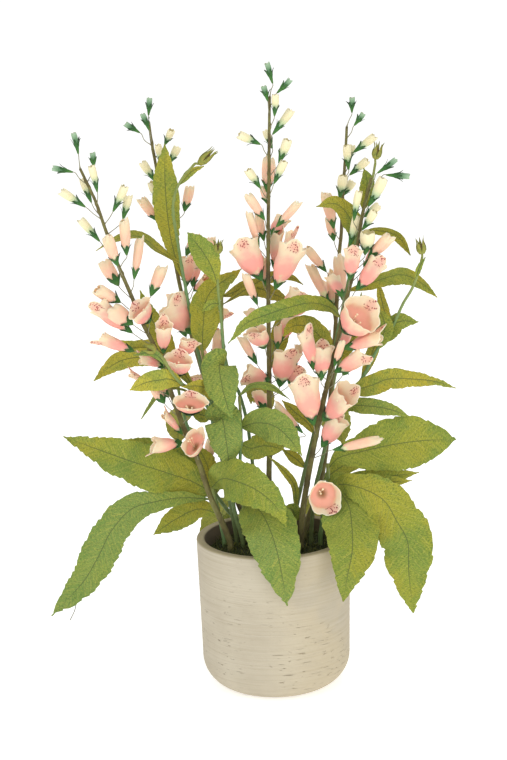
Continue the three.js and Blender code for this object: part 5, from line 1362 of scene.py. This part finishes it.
def add_floor():
    """A plain pale floor that runs past the frame."""
    finish = Finish("floor_paper", roughness=0.9)
    soft = finish.noise(finish.place(), 3.0)
    paper = finish.paint(finish.ramp(soft, (0.3, colour(246, 246, 245)), (0.7, colour(250, 250, 249))))
    finish.shader.inputs["Emission Color"].default_value = (1.0, 1.0, 1.0, 1.0)
    finish.shader.inputs["Emission Strength"].default_value = FLOOR_GLOW
    mesh = bpy.data.meshes.new("floor")
    corners = FLOOR_REACH * np.array([[-1, -1, 0], [1, -1, 0], [1, 1, 0], [-1, 1, 0]])
    mesh.from_pydata(corners.tolist(), [], [[0, 1, 2, 3]])
    mesh.materials.append(paper)
    floor = bpy.data.objects.new("floor", mesh)
    bpy.context.scene.collection.objects.link(floor)


def add_light(name, at, towards, size, power):
    """A square soft light that faces a point."""
    data = bpy.data.lights.new(name, "AREA")
    data.size = size
    data.energy = power
    light = bpy.data.objects.new(name, data)
    at, towards = Vector(at), Vector(towards)
    light.matrix_world = Matrix.Translation(at) @ (towards - at).to_track_quat("-Z", "Y").to_matrix().to_4x4()
    bpy.context.scene.collection.objects.link(light)


def add_surroundings():
    """Soft studio light: an even white world, which looks brighter than it lights, a broad key from the
    upper left and three weaker lights."""
    scene = bpy.context.scene
    scene.view_settings.view_transform = "Standard"
    world = bpy.data.worlds.new("studio")
    world.use_nodes = True
    nodes = world.node_tree.nodes
    seen = nodes.new("ShaderNodeLightPath").outputs["Is Camera Ray"]
    strength = nodes.new("ShaderNodeMapRange")
    strength.inputs["To Min"].default_value = WORLD_LIGHT
    world.node_tree.links.new(seen, strength.inputs["Value"])
    world.node_tree.links.new(strength.outputs["Result"], nodes["Background"].inputs["Strength"])
    nodes["Background"].inputs["Color"].default_value = (1, 1, 1, 1)
    scene.world = world
    add_light("key", (-1.5, -1.9, 1.7), (0, 0, 0.3), 1.6, 11.5)
    add_light("front", (0.1, -2.4, 0.9), (0, 0, 0.35), 1.4, 11)
    add_light("fill", (1.7, -1.6, 1.0), (0, 0, 0.3), 1.5, 8)
    add_light("top", (0.2, 0.9, 2.2), (0, 0, 0.3), 1.2, 11)


def add_camera():
    """The camera, turned down by the pitch, to the left by the yaw, and rolled."""
    forward = np.array([-np.sin(YAW) * np.cos(PITCH), np.cos(YAW) * np.cos(PITCH), -np.sin(PITCH)])
    right = unit(np.cross(forward, [0, 0, 1.0]))
    up = np.cross(right, forward)
    rolled_right = right * np.cos(ROLL) - up * np.sin(ROLL)
    rolled_up = up * np.cos(ROLL) + right * np.sin(ROLL)
    data = bpy.data.cameras.new("camera")
    data.lens = LENS
    camera = bpy.data.objects.new("camera", data)
    pose = np.eye(4)
    pose[:3] = np.stack([rolled_right, rolled_up, -forward, EYE], axis=1)
    camera.matrix_world = Matrix(pose.tolist())
    bpy.context.scene.collection.objects.link(camera)
    bpy.context.scene.camera = camera


# ---- the arrangement ---------------------------------------------------------------------------------------


def main():
    """Everything in its place."""
    add_camera()
    add_surroundings()
    add_floor()
    finishes = all_finishes()
    build_pot(finishes["stone"])
    build_moss(finishes["moss"], finishes["sprig"])
    for number, (name, layout) in enumerate(SPIKES.items()):
        build_spike(name, layout, finishes, np.random.default_rng(SEED + 10 + number))
    for number, (name, layout) in enumerate(SPRAYS.items()):
        build_spray(name, layout, finishes, np.random.default_rng(SEED + 40 + number))


main()
